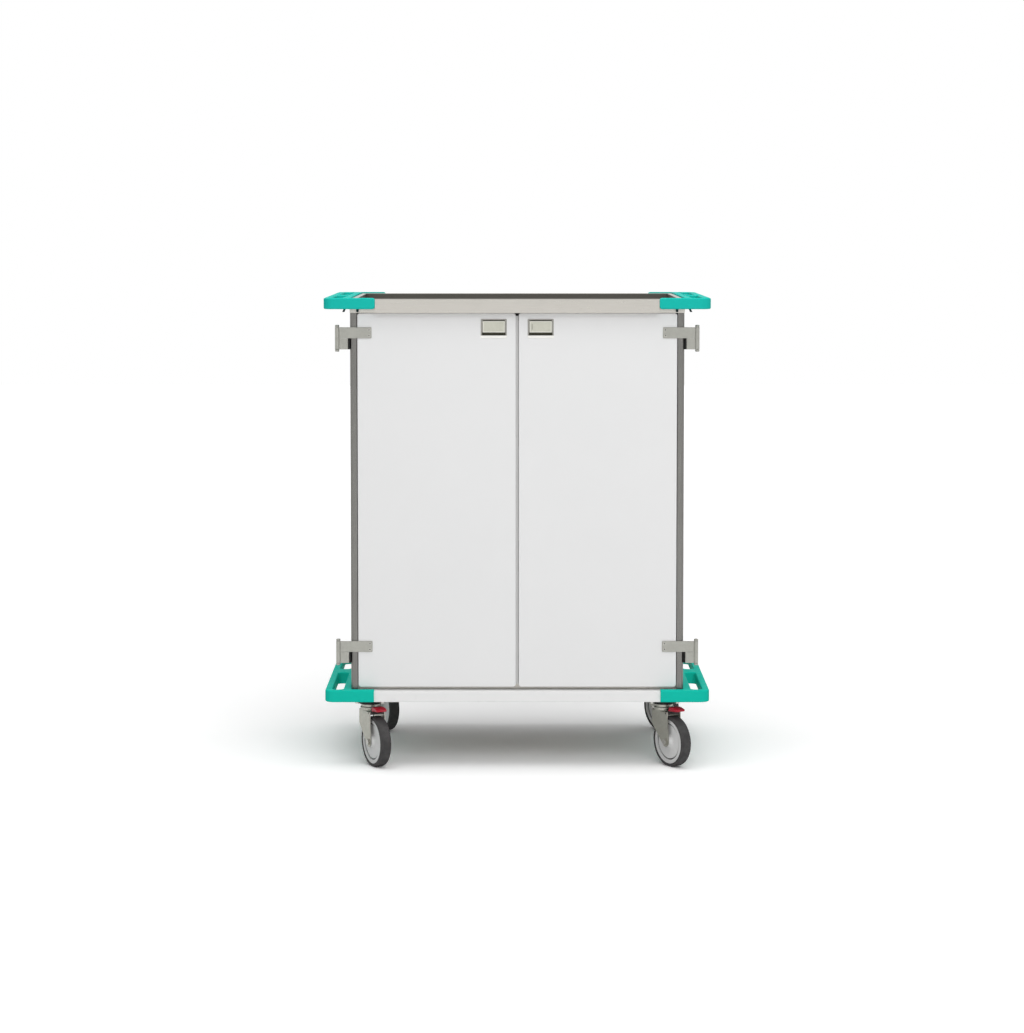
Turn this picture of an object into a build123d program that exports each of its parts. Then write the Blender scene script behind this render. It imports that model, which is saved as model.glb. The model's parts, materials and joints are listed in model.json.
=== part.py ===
from build123d import *
import os
from math import cos, radians, sin

# A closed case cart: a two-door cabinet on four swivel casters, with a tray top and corner bumpers.
# Millimetres. +Z is up and the doors face -Y. The sizes below are laid out about the cabinet's middle,
# and each saved piece is moved so that the origin lies on the floor below the middle of the box that
# the cart fills with its casters as they stand.

os.makedirs("parts", exist_ok=True)

# Cabinet body
BODY_WIDTH = 1056.0
BODY_DEPTH = 700.0
BODY_HEIGHT = 1200.0
POST_WIDTH = 21.0
POST_DEPTH = 40.0
POST_WALL = 3.0
POST_CORNER = 9.0
PANEL_THICKNESS = 20.0
BACK_PANEL_INSET = 2.0
FLOOR_THICKNESS = 3.0
FLOOR_SETBACK = 2.0
SILL_HEIGHT = 17.0
HEADER_DEPTH = 30.0
HEADER_HEIGHT = 26.0

# Base
RIM_PROUD = 30.0
RAIL_WIDTH = 50.0
RAIL_HEIGHT = 34.0
RAIL_WALL = 3.0
SIDE_RAIL_WIDTH = 37.0
CROSS_TUBE_WIDTH = 70.0
CROSS_TUBE_WALL = 3.0
RAIL_EDGE = 2.0

# Tray top
TRAY_HEIGHT = 43.0
TRAY_RECESS = 21.0
TRAY_SHEET = 2.0
TRAY_SIDE_RIM = 15.0
TRAY_END_RIM = 26.0
TRAY_FLANGE = 42.0
TRAY_EDGE = 1.2

# Corner bumpers
BUMPER_REACH = 82.0
BUMPER_PROUD = 5.0
BUMPER_LOW_HEIGHT = 38.0
BUMPER_HIGH_HEIGHT = 35.0
BUMPER_LOW_WRAP = 73.5
BUMPER_HIGH_WRAP = 80.5
BUMPER_FRONT_BAR = 25.0
BUMPER_OUTER_BAR = 22.0
BUMPER_INNER_BAR = 25.0
BUMPER_MID_STRUT = 35.0
BUMPER_CORNER = 30.0
BUMPER_HOLE_CORNER = 16.0
BUMPER_HOLE_CORNER_SHARE = 0.45
BUMPER_EDGE = 4.5
BUMPER_END_ROUND = 9.0
BUMPER_TOP_PROUD = 4.0
BUMPER_SEAM = 0.3
BUMPER_FIT = 0.3
LUG_DROP = 9.0
LUG_DEPTH = 7.0
LUG_SETBACK = 10.0
LUG_WIDTH = 7.0
LUG_SLANT = 4.0
LUG_OUTER_PLACE = 15.0
LUG_INNER_PLACE = 25.0
BUMPER_SCREW = 6.0
BUMPER_SCREW_HEAD = 12.0
BUMPER_SCREW_HEAD_HEIGHT = 5.0
BUMPER_SCREW_SUNK = 1.0
BUMPER_SCREW_LENGTH = 24.0
BUMPER_SCREW_PLACES = (90.0, 300.0)

# Doors
DOOR_THICKNESS = 20.0
DOOR_BOTTOM_GAP = 10.0
DOOR_TOP_GAP = 1.0
DOOR_EDGE_GAP = 2.0
DOOR_SEAM = 9.0
DOOR_PROUD = 2.0
DOOR_CORNER = 9.0
DOOR_FRONT_ROUND = 3.0
LINER_THICKNESS = 2.0
LINER_MARGIN = 10.0
SEAL_WIDTH = 8.1
SEAL_SETBACK = 3.0
SEAL_DEPTH = 15.0
SEAL_END_GAP = 9.0
SEAL_ROUND = 2.5

# Flush handles
HANDLE_FROM_EDGE = 69.5
HANDLE_FROM_TOP = 49.0
BEZEL_WIDTH = 82.0
BEZEL_HEIGHT = 61.0
BEZEL_PROUD = 1.5
BEZEL_CORNER = 3.0
BEZEL_EDGE = 0.6
CUP_WIDTH = 77.5
CUP_HEIGHT = 56.5
CUP_DEPTH = 17.0
CUP_WALL = 1.5
CUP_FIT = 0.25
CUP_LIP = 6.5
PADDLE_WIDTH = 69.5
PADDLE_HEIGHT = 36.0
PADDLE_THICKNESS = 3.0
PADDLE_SIDE_GAP = 0.4
PADDLE_TOP_GAP = 3.0
PADDLE_SUNK = 0.7
PADDLE_EDGE = 0.8
PADDLE_BARREL = 5.2
TRUNNION = 4.0
TRUNNION_FIT = 0.1
TRUNNION_LENGTH = 2.6
TRUNNION_END_GAP = 0.3
TRUNNION_DROP = 3.2
CHEEK_DEPTH = 8.0
GROOVE_WIDTH = 4.0
GROOVE_HEIGHT = 18.0
GROOVE_DEPTH = 1.0
GROOVE_FROM_EDGE = 8.0

# Hinges
HINGE_OFFSET = 40.0
HINGE_PIN = 8.0
HINGE_PIN_FIT = 0.1
HINGE_KNUCKLE = 14.0
HINGE_LEAF_HEIGHT = 34.85
HINGE_GAP = 0.3
HINGE_SHEET = 3.0
HINGE_BEND = 4.0
HINGE_CAP = 13.5
HINGE_CAP_HEIGHT = 7.0
HINGE_CAP_EDGE = 1.5
HINGE_UPPER_DROP = 80.6
HINGE_LOWER_RISE = 122.4
STRAP_REACH = 45.5
STRAP_CORNER = 3.0
STRAP_EDGE = 0.8
STRAP_SCREW = 5.0
STRAP_SCREW_HEAD = 8.0
STRAP_SCREW_HEAD_HEIGHT = 1.4
STRAP_SCREW_SPREAD = 18.0
STRAP_SCREW_INSET = 8.0
STRAP_SCREW_LENGTH = 14.0
SPACER_THICKNESS = 5.5
SPACER_DEPTH = 38.0
BRACKET_SCREW = 6.0
BRACKET_SCREW_HEAD = 11.0
BRACKET_SCREW_HEAD_HEIGHT = 3.0
BRACKET_SCREW_SPREAD = 20.0
BRACKET_SCREW_LENGTH = 16.0
BRACKET_SCREW_SETBACK = 3.0

# Door catches
CATCH_WIDTH = 40.0
CATCH_DEPTH = 10.5
CATCH_HEIGHT = 15.0
CATCH_PLACE = 60.0
CATCH_GAP = 0.5

# Shelves, their standards and clips
STANDARD_WIDTH = 25.0
STANDARD_DEPTH = 10.0
STANDARD_WALL = 1.5
STANDARD_PLACE = 230.0
STANDARD_FOOT = 33.0
STANDARD_HEAD = 44.0
SLOT_WIDTH = 4.0
SLOT_HEIGHT = 14.0
SLOT_PITCH = 50.0
SLOT_FIRST = 30.0
SHELF_SLOTS = (6, 14)
SHELF_SHEET = 1.5
SHELF_LIP = 25.0
SHELF_SIDE_GAP = 1.5
SHELF_FRONT_GAP = 30.0
SHELF_BACK_GAP = 8.0
CLIP_WIDTH = 18.0
CLIP_SHEET = 3.0
CLIP_REACH = 10.0
CLIP_DROP = 18.0
CLIP_HOOK_FIT = 0.2
CLIP_HOOK_DEPTH = 4.0

# Casters
WHEEL_DIAMETER = 160.0
WHEEL_WIDTH = 36.0
TYRE_DEPTH = 9.5
TYRE_SHOULDER = 6.0
RIM_RING = 12.0
RIM_GROOVE = 4.5
RIM_GROOVE_DEPTH = 6.0
RIM_WIDTH = 32.0
DISC_WIDTH = 27.0
HUB_WIDTH = 46.0
HUB_DIAMETER = 30.0
HUB_FLARE = 5.0
RIM_EDGE = 1.0
AXLE = 10.0
AXLE_FIT = 0.1
AXLE_HEAD = 17.0
AXLE_HEAD_HEIGHT = 6.0
AXLE_TAIL = 3.0
FORK_SHEET = 3.0
FORK_SIDE_GAP = 1.0
FORK_FOOT = 16.0
FORK_BACK = 28.0
FORK_FRONT = 40.0
FORK_EAR = 53.0
FORK_SKIRT = 26.0
FORK_BACK_SKIRT = 45.0
FORK_HEADROOM = 12.0
FORK_CROWN = 4.0
FORK_BEND = 2.5
CASTER_TRAIL = 45.0
RACE_DIAMETER = 64.0
RACE_NECK = 58.0
RACE_HEIGHT = 18.7
RACE_SHOULDER = 11.0
RACE_EDGE = 2.0
SWIVEL_GAP = 0.3
PUCK_DIAMETER = 70.0
PUCK_HEIGHT = 11.0
MOUNT_WIDTH = 100.0
MOUNT_DEPTH = 86.0
MOUNT_THICKNESS = 4.0
MOUNT_CORNER = 6.0
KING_PIN = 12.0
KING_PIN_FIT = 0.1
KING_PIN_HEAD = 22.0
KING_PIN_HEAD_HEIGHT = 5.7
MOUNT_BOLT = 8.0
MOUNT_BOLT_HEAD = 13.0
MOUNT_BOLT_HEAD_HEIGHT = 6.0
MOUNT_BOLT_SPREAD_X = 80.0
MOUNT_BOLT_SPREAD_Y = 68.0
MOUNT_BOLT_LENGTH = 14.0
CASTER_INSET_X = 59.0
CASTER_INSET_Y = 40.0
CASTER_YAW_LEFT = 27.0
CASTER_YAW_RIGHT = 33.0

# Brake pedals
PEDAL_WIDTH = 36.0
PEDAL_REACH = 92.0
PEDAL_THICKNESS = 12.0
PEDAL_BARREL = 11.0
PEDAL_PIN = 6.0
PEDAL_PIN_FIT = 0.1
PEDAL_SIDE_GAP = 0.4
PEDAL_PIVOT_REACH = 46.0
PEDAL_PIVOT_BELOW_CROWN = 1.0
PEDAL_RISE = 8.0
PEDAL_TAPER = 22.0
PEDAL_TIP_DROP = 6.0
PEDAL_TIP_LIFT = 1.5
PEDAL_CORNER = 7.0
PEDAL_ROUND = 1.5

# How far off its stated place an edge may be when it is picked for rounding
PICK_SPAN = 0.01

# Places worked out from the sizes above, all in the cart's frame
half_width = BODY_WIDTH / 2
half_depth = BODY_DEPTH / 2
rim_y = half_depth + RIM_PROUD
rail_in_y = rim_y - RAIL_WIDTH
side_rail_in_x = half_width - SIDE_RAIL_WIDTH

axle_z = WHEEL_DIAMETER / 2
crown_bottom = WHEEL_DIAMETER + FORK_HEADROOM
crown_top = crown_bottom + FORK_CROWN
race_top = crown_top + RACE_HEIGHT
puck_bottom = race_top + SWIVEL_GAP
puck_top = puck_bottom + PUCK_HEIGHT
base_bottom = puck_top + MOUNT_THICKNESS
base_top = base_bottom + RAIL_HEIGHT
tray_bottom = base_top + BODY_HEIGHT
tray_top = tray_bottom + TRAY_HEIGHT
caster_x = half_width - CASTER_INSET_X
caster_y = half_depth - CASTER_INSET_Y

post_in_x = half_width - POST_WIDTH
post_in_y = half_depth - POST_DEPTH
back_panel_out = half_depth - BACK_PANEL_INSET
back_panel_in = back_panel_out - PANEL_THICKNESS
door_front_y = -half_depth - DOOR_PROUD
door_back_y = door_front_y + DOOR_THICKNESS
liner_back_y = door_back_y + LINER_THICKNESS
cabin_front_y = liner_back_y + FLOOR_SETBACK
door_in_x = DOOR_SEAM / 2
door_out_x = post_in_x - DOOR_EDGE_GAP
door_bottom = base_top + DOOR_BOTTOM_GAP
door_top = tray_bottom - DOOR_TOP_GAP

bumper_x = half_width + BUMPER_REACH
bumper_y = rim_y + BUMPER_PROUD
bumper_bar_y = bumper_y - BUMPER_FRONT_BAR
low_end_x = half_width - BUMPER_LOW_WRAP
high_end_x = half_width - BUMPER_HIGH_WRAP
rail_notch_x = low_end_x - BUMPER_FIT
tray_notch_x = high_end_x - BUMPER_FIT
notch_y = bumper_bar_y - BUMPER_FIT
bumper_top_z = tray_top + BUMPER_TOP_PROUD
low_bumper_z = (base_bottom, base_bottom + BUMPER_LOW_HEIGHT)
high_bumper_z = (bumper_top_z - BUMPER_HIGH_HEIGHT, bumper_top_z)

pivot_x = half_width + HINGE_OFFSET
pivot_y = door_front_y - HINGE_SHEET / 2
hinge_levels = (tray_bottom - HINGE_UPPER_DROP, base_top + HINGE_LOWER_RISE)
handle_x = door_in_x + HANDLE_FROM_EDGE
handle_z = door_top - HANDLE_FROM_TOP


def front_reach(yaw):
    """How far a front wheel reaches ahead of its swivel axis when its trail is turned by a yaw."""
    along = CASTER_TRAIL + WHEEL_DIAMETER / 2 - TYRE_SHOULDER
    across = WHEEL_WIDTH / 2 - TYRE_SHOULDER
    return along * cos(radians(yaw)) + across * sin(radians(yaw)) + TYRE_SHOULDER


box_front = caster_y + max(front_reach(CASTER_YAW_LEFT), front_reach(CASTER_YAW_RIGHT))
box_shift = (box_front - bumper_y) / 2


def block(x, y, z, mode=Mode.ADD):
    """A box that fills the spans x, y and z, each given as its two ends."""
    with Locations(((x[0] + x[1]) / 2, (y[0] + y[1]) / 2, (z[0] + z[1]) / 2)):
        Box(abs(x[1] - x[0]), abs(y[1] - y[0]), abs(z[1] - z[0]), mode=mode)


def edges_at(edges, axis, place):
    """Those of the edges whose middles lie at a place on an axis, within a hair's breadth."""
    return edges.filter_by_position(axis, place - PICK_SPAN, place + PICK_SPAN)


def rod(axis, diameter, centre, ends, mode=Mode.ADD):
    """A round bar along an axis between two ends. The centre gives its other two coordinates."""
    middle = (ends[0] + ends[1]) / 2
    places = {
        "X": Location((middle, centre[0], centre[1]), (0, 90, 0)),
        "Y": Location((centre[0], middle, centre[1]), (90, 0, 0)),
        "Z": Location((centre[0], centre[1], middle)),
    }
    with Locations(places[axis]):
        Cylinder(diameter / 2, abs(ends[1] - ends[0]), mode=mode)


def save(name, part):
    """Write one sub-part under its own name, in the frame whose origin is below the box's middle."""
    placed = part.moved(Location((0, box_shift, 0)))
    placed.label = name
    export_step(placed, f"parts/{name}.step")


def on_left(part):
    """The same piece for the left side of the cart."""
    return part.mirror(Plane.YZ)


def at_back(part):
    """The same piece for the back of the cart."""
    return part.mirror(Plane.XZ)


# Base: a welded ring of hollow rails, notched at its corners for the bumpers


def rail_hollows():
    """The chambers of the front and back rails and of the side rails."""
    hollow_z = (base_bottom + RAIL_WALL, base_top - RAIL_WALL)
    for side in (-1, 1):
        rear_chamber = (side * (rail_in_y + RAIL_WALL), side * (notch_y - RAIL_WALL))
        front_chamber = (side * notch_y, side * (rim_y - RAIL_WALL))
        side_chamber = (side * (side_rail_in_x + RAIL_WALL), side * (half_width - RAIL_WALL))
        rear_x = half_width - RAIL_WALL
        front_x = rail_notch_x - RAIL_WALL
        block((-rear_x, rear_x), rear_chamber, hollow_z, mode=Mode.SUBTRACT)
        block((-front_x, front_x), front_chamber, hollow_z, mode=Mode.SUBTRACT)
        block(side_chamber, (-rail_in_y, rail_in_y), hollow_z, mode=Mode.SUBTRACT)


def mount_bolt_places():
    """The bolts of all four caster mounts, as X and Y."""
    places = []
    for x_side in (-1, 1):
        for y_side in (-1, 1):
            for x_step in (-0.5, 0.5):
                for y_step in (-0.5, 0.5):
                    bolt_x = x_side * caster_x + x_step * MOUNT_BOLT_SPREAD_X
                    bolt_y = y_side * caster_y + y_step * MOUNT_BOLT_SPREAD_Y
                    places.append((bolt_x, bolt_y))
    return places


def bolt_holes():
    """Holes for the mount bolts through the bottom walls of rails and tubes."""
    for place in mount_bolt_places():
        rod("Z", MOUNT_BOLT, place, (base_bottom, base_bottom + RAIL_WALL), mode=Mode.SUBTRACT)


def bumper_screw_holes(bumper_z, wall):
    """Holes for the bumper screws through the side walls that carry the bumpers."""
    screw_z = sum(bumper_z) / 2
    for x_side in (-1, 1):
        for y_side in (-1, 1):
            for place in BUMPER_SCREW_PLACES:
                ends = (x_side * (half_width - wall), x_side * half_width)
                rod("X", BUMPER_SCREW, (y_side * place, screw_z), ends, mode=Mode.SUBTRACT)


with BuildPart() as base_rails:
    for side in (-1, 1):
        rail_z = (base_bottom, base_top)
        block((-half_width, half_width), (side * rail_in_y, side * rim_y), rail_z)
        block((side * side_rail_in_x, side * half_width), (-rail_in_y, rail_in_y), rail_z)
    rail_hollows()
    for x_side in (-1, 1):
        for y_side in (-1, 1):
            notch_span_x = (x_side * rail_notch_x, x_side * half_width)
            notch_span_y = (y_side * notch_y, y_side * rim_y)
            block(notch_span_x, notch_span_y, (base_bottom, base_top), mode=Mode.SUBTRACT)
    long_edges = base_rails.edges().filter_by(Axis.X)
    fillet(edges_at(long_edges, Axis.Y, rim_y), RAIL_EDGE)
    long_edges = base_rails.edges().filter_by(Axis.X)
    fillet(edges_at(long_edges, Axis.Y, -rim_y), RAIL_EDGE)
    bolt_holes()
    bumper_screw_holes(low_bumper_z, RAIL_WALL)
save("base_rails", base_rails.part)

with BuildPart() as cross_tubes:
    for side in (-1, 1):
        tube_y = (side * (rail_in_y - CROSS_TUBE_WIDTH), side * rail_in_y)
        block((-side_rail_in_x, side_rail_in_x), tube_y, (base_bottom, base_top))
        hollow_y = (
            side * (rail_in_y - CROSS_TUBE_WIDTH + CROSS_TUBE_WALL),
            side * (rail_in_y - CROSS_TUBE_WALL),
        )
        hollow_z = (base_bottom + CROSS_TUBE_WALL, base_top - CROSS_TUBE_WALL)
        block((-side_rail_in_x, side_rail_in_x), hollow_y, hollow_z, mode=Mode.SUBTRACT)
    bolt_holes()
save("cross_tubes", cross_tubes.part)

# Cabinet shell: corner posts, side and back panels, floor, header

with BuildPart() as corner_posts:
    post_middle = (half_width - POST_WIDTH / 2, half_depth - POST_DEPTH / 2)
    with BuildSketch(Plane.XY.offset(base_top)) as post_plan:
        with Locations(post_middle):
            Rectangle(POST_WIDTH, POST_DEPTH)
        outer_corner = post_plan.vertices().sort_by(lambda v: v.X + v.Y)[-1]
        fillet(outer_corner, POST_CORNER)
        offset(amount=-POST_WALL, mode=Mode.SUBTRACT)
    extrude(amount=BODY_HEIGHT)
    for level in hinge_levels:
        for step in (-0.5, 0.5):
            screw_z = level - HINGE_GAP / 2 - HINGE_LEAF_HEIGHT / 2 + step * BRACKET_SCREW_SPREAD
            screw_y = half_depth - SPACER_DEPTH / 2 - BRACKET_SCREW_SETBACK
            ends = (half_width - POST_WALL, half_width)
            rod("X", BRACKET_SCREW, (screw_y, screw_z), ends, mode=Mode.SUBTRACT)
    mirror(about=Plane.XZ)
    mirror(about=Plane.YZ)
save("corner_posts", corner_posts.part)

with BuildPart() as side_panel:
    panel_x = (post_in_x, post_in_x + PANEL_THICKNESS)
    block(panel_x, (-post_in_y, post_in_y), (base_top, tray_bottom))
save("side_panel_right", side_panel.part)
save("side_panel_left", on_left(side_panel.part))

with BuildPart() as back_panel:
    block((-post_in_x, post_in_x), (back_panel_in, back_panel_out), (base_top, tray_bottom))
save("back_panel", back_panel.part)

with BuildPart() as floor_panel:
    floor_y = (cabin_front_y, back_panel_in)
    block((-post_in_x, post_in_x), floor_y, (base_top, base_top + FLOOR_THICKNESS))
    sill_y = (cabin_front_y, cabin_front_y + FLOOR_THICKNESS)
    sill_z = (base_top, base_top + FLOOR_THICKNESS + SILL_HEIGHT)
    block((-post_in_x, post_in_x), sill_y, sill_z)
save("floor_panel", floor_panel.part)


def catch_blocks(mode=Mode.ADD):
    """The two door catches, one behind each door beside the seam."""
    catch_y = (liner_back_y + CATCH_GAP, liner_back_y + CATCH_GAP + CATCH_DEPTH)
    catch_z = (tray_bottom - HEADER_HEIGHT, tray_bottom - HEADER_HEIGHT + CATCH_HEIGHT)
    for side in (-1, 1):
        catch_x = (side * (CATCH_PLACE - CATCH_WIDTH / 2), side * (CATCH_PLACE + CATCH_WIDTH / 2))
        block(catch_x, catch_y, catch_z, mode=mode)


with BuildPart() as door_header:
    header_y = (cabin_front_y, cabin_front_y + HEADER_DEPTH)
    block((-post_in_x, post_in_x), header_y, (tray_bottom - HEADER_HEIGHT, tray_bottom))
    catch_blocks(mode=Mode.SUBTRACT)
save("door_header", door_header.part)

with BuildPart() as door_catches:
    catch_blocks()
save("door_catches", door_catches.part)

# Tray top: folded sheet with a skirt, a rim, a recessed floor and a flange that rests on the posts

tray_floor_z = tray_top - TRAY_RECESS
well_x = half_width - TRAY_SIDE_RIM
well_y = rim_y - TRAY_END_RIM


def tray_outline(inset):
    """The tray's outline drawn in by a sheet's thickness, less a notch at each corner."""
    Rectangle(BODY_WIDTH - 2 * inset, 2 * (rim_y - inset))
    notch_width = half_width - tray_notch_x
    notch_depth = rim_y - notch_y
    for x_side in (-1, 1):
        for y_side in (-1, 1):
            notch_centre_x = x_side * (tray_notch_x - inset + notch_width / 2)
            notch_centre_y = y_side * (notch_y - inset + notch_depth / 2)
            with Locations((notch_centre_x, notch_centre_y)):
                Rectangle(notch_width, notch_depth, mode=Mode.SUBTRACT)


with BuildPart() as top_tray:
    with BuildSketch(Plane.XY.offset(tray_bottom)):
        tray_outline(0)
    extrude(amount=TRAY_HEIGHT)
    with BuildSketch(Plane.XY.offset(tray_bottom + TRAY_SHEET)):
        tray_outline(TRAY_SHEET)
        Rectangle(2 * (well_x + TRAY_SHEET), 2 * (well_y + TRAY_SHEET), mode=Mode.SUBTRACT)
    extrude(amount=TRAY_HEIGHT - 2 * TRAY_SHEET, mode=Mode.SUBTRACT)
    under_x = well_x + TRAY_SHEET
    under_y = well_y + TRAY_SHEET
    under_z = (tray_bottom + TRAY_SHEET, tray_floor_z - TRAY_SHEET)
    block((-under_x, under_x), (-under_y, under_y), under_z, mode=Mode.SUBTRACT)
    block((-well_x, well_x), (-well_y, well_y), (tray_floor_z, tray_top), mode=Mode.SUBTRACT)
    open_x = half_width - TRAY_FLANGE
    open_y = half_depth - TRAY_FLANGE
    flange_z = (tray_bottom, tray_bottom + TRAY_SHEET)
    block((-open_x, open_x), (-open_y, open_y), flange_z, mode=Mode.SUBTRACT)
    fillet(top_tray.faces().sort_by(Axis.Z)[-1].edges(), TRAY_EDGE)
    bumper_screw_holes(high_bumper_z, TRAY_SHEET)
save("top_tray", top_tray.part)

# Corner bumpers: each is four bars round an opening, its front bar seated in the corner notch

hole_in_x = half_width + BUMPER_INNER_BAR
hole_out_x = bumper_x - BUMPER_OUTER_BAR


def lug(bumper_low, place, slant):
    """A small lug below the front bar that leans outward as it goes down."""
    top_left = place - LUG_WIDTH / 2
    with BuildSketch(Plane.XZ.offset(-(bumper_y - LUG_SETBACK))) as lug_side:
        with BuildLine():
            Polyline(
                (top_left, bumper_low),
                (top_left + LUG_WIDTH, bumper_low),
                (top_left + LUG_WIDTH + slant, bumper_low - LUG_DROP),
                (top_left + slant, bumper_low - LUG_DROP),
                close=True,
            )
        make_face()
    extrude(lug_side.sketch, amount=LUG_DEPTH)


def bumper(end_x, bumper_z, round_end, lugs):
    """The bumper of the right back corner, with its counterbored screw holes."""
    seam_y = BUMPER_SEAM / 2
    hole_width = hole_out_x - hole_in_x
    hole_length = bumper_bar_y - BUMPER_MID_STRUT
    hole_corner = min(BUMPER_HOLE_CORNER, BUMPER_HOLE_CORNER_SHARE * hole_width)
    with BuildPart() as loop:
        with BuildSketch(Plane.XY.offset(bumper_z[0])) as plan:
            with Locations(((end_x + bumper_x) / 2, (seam_y + bumper_y) / 2)):
                Rectangle(bumper_x - end_x, bumper_y - seam_y)
            with Locations(((end_x + half_width) / 2, (seam_y + bumper_bar_y) / 2)):
                Rectangle(half_width - end_x, bumper_bar_y - seam_y, mode=Mode.SUBTRACT)
            fillet(plan.vertices().sort_by(lambda v: v.X + v.Y)[-1], BUMPER_CORNER)
            with Locations(((hole_in_x + hole_out_x) / 2, bumper_bar_y - hole_length / 2)):
                RectangleRounded(hole_width, hole_length, hole_corner, mode=Mode.SUBTRACT)
        extrude(amount=bumper_z[1] - bumper_z[0])
        if round_end:
            end_edges = loop.edges().filter_by(Axis.Y)
            fillet(edges_at(end_edges, Axis.X, end_x), BUMPER_END_ROUND)
        rim_edges = []
        for face in (loop.faces().sort_by(Axis.Z)[-1], loop.faces().sort_by(Axis.Z)[0]):
            for edge in face.outer_wire().edges():
                middle = edge.center()
                if middle.X > bumper_x - BUMPER_CORNER or middle.Y > bumper_y - BUMPER_EDGE:
                    rim_edges.append(edge)
            rim_edges.extend(face.inner_wires()[0].edges())
        fillet(rim_edges, BUMPER_EDGE)
        screw_z = sum(bumper_z) / 2
        head_in_x = hole_in_x - BUMPER_SCREW_SUNK - BUMPER_SCREW_HEAD_HEIGHT
        for place in BUMPER_SCREW_PLACES:
            rod("X", BUMPER_SCREW, (place, screw_z), (half_width, head_in_x), mode=Mode.SUBTRACT)
            rod(
                "X",
                BUMPER_SCREW_HEAD + BUMPER_FIT,
                (place, screw_z),
                (head_in_x, hole_in_x),
                mode=Mode.SUBTRACT,
            )
        if lugs:
            lug(bumper_z[0], half_width + LUG_OUTER_PLACE, LUG_SLANT)
            lug(bumper_z[0], half_width - LUG_INNER_PLACE, 0)
    return loop.part


bottom_bumper = bumper(low_end_x, low_bumper_z, False, False)
top_back_bumper = bumper(high_end_x, high_bumper_z, True, False)
top_front_bumper = bumper(high_end_x, high_bumper_z, True, True)
save("bumper_bottom_back_right", bottom_bumper)
save("bumper_bottom_back_left", on_left(bottom_bumper))
save("bumper_bottom_front_right", at_back(bottom_bumper))
save("bumper_bottom_front_left", on_left(at_back(bottom_bumper)))
save("bumper_top_back_right", top_back_bumper)
save("bumper_top_back_left", on_left(top_back_bumper))
save("bumper_top_front_right", at_back(top_front_bumper))
save("bumper_top_front_left", on_left(at_back(top_front_bumper)))

with BuildPart() as bumper_screws:
    head_in_x = hole_in_x - BUMPER_SCREW_SUNK - BUMPER_SCREW_HEAD_HEIGHT
    head_out_x = hole_in_x - BUMPER_SCREW_SUNK
    for bumper_z in (low_bumper_z, high_bumper_z):
        for place in BUMPER_SCREW_PLACES:
            centre = (place, sum(bumper_z) / 2)
            rod("X", BUMPER_SCREW_HEAD, centre, (head_in_x, head_out_x))
            rod("X", BUMPER_SCREW, centre, (head_in_x - BUMPER_SCREW_LENGTH, head_in_x))
    mirror(about=Plane.XZ)
    mirror(about=Plane.YZ)
save("bumper_screws", bumper_screws.part)

# Doors: a panel with a liner behind it and a pocket for the handle, made for the right side

door_middle_x = (door_in_x + door_out_x) / 2
door_middle_z = (door_bottom + door_top) / 2
strap_front_y = door_front_y - HINGE_SHEET
strap_in_x = door_out_x - STRAP_REACH


def strap_middles():
    """The heights of the middles of the two straps."""
    return [level + HINGE_GAP / 2 + HINGE_LEAF_HEIGHT / 2 for level in hinge_levels]


def strap_screw_places():
    """The strap screws of one door, as X and Z."""
    places = []
    for middle in strap_middles():
        for step in (-0.5, 0.5):
            places.append((strap_in_x + STRAP_SCREW_INSET, middle + step * STRAP_SCREW_SPREAD))
    return places


with BuildPart() as door_panel:
    with BuildSketch(Plane.XZ.offset(-door_front_y)):
        with Locations((door_middle_x, door_middle_z)):
            RectangleRounded(door_out_x - door_in_x, door_top - door_bottom, DOOR_CORNER)
        with Locations((handle_x, handle_z)):
            Rectangle(CUP_WIDTH + 2 * CUP_FIT, CUP_HEIGHT + 2 * CUP_FIT, mode=Mode.SUBTRACT)
    extrude(amount=-DOOR_THICKNESS)
    front_face = door_panel.faces().sort_by(Axis.Y)[0]
    fillet(front_face.outer_wire().edges(), DOOR_FRONT_ROUND)
    for place in strap_screw_places():
        screw_tip = strap_front_y + STRAP_SCREW_LENGTH
        rod("Y", STRAP_SCREW, place, (door_front_y, screw_tip), mode=Mode.SUBTRACT)
save("door_panel_right", door_panel.part)
save("door_panel_left", on_left(door_panel.part))

with BuildPart() as door_liner:
    with BuildSketch(Plane.XZ.offset(-door_back_y)):
        with Locations((door_middle_x, door_middle_z)):
            liner_width = door_out_x - door_in_x - 2 * LINER_MARGIN
            RectangleRounded(liner_width, door_top - door_bottom - 2 * LINER_MARGIN, DOOR_CORNER)
    extrude(amount=-LINER_THICKNESS)
save("door_liner_right", door_liner.part)
save("door_liner_left", on_left(door_liner.part))

with BuildPart() as door_seal:
    seal_x = (-door_in_x, -door_in_x + SEAL_WIDTH)
    seal_y = (door_front_y + SEAL_SETBACK, door_front_y + SEAL_SETBACK + SEAL_DEPTH)
    block(seal_x, seal_y, (door_bottom + SEAL_END_GAP, door_top - SEAL_END_GAP))
    free_edges = door_seal.edges().filter_by(Axis.Z).sort_by(Axis.X)[-2:]
    fillet(free_edges, SEAL_ROUND)
save("door_seal", door_seal.part)

# Flush handles: a bezel with a cup behind it, and a paddle that hangs from two trunnions

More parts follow.
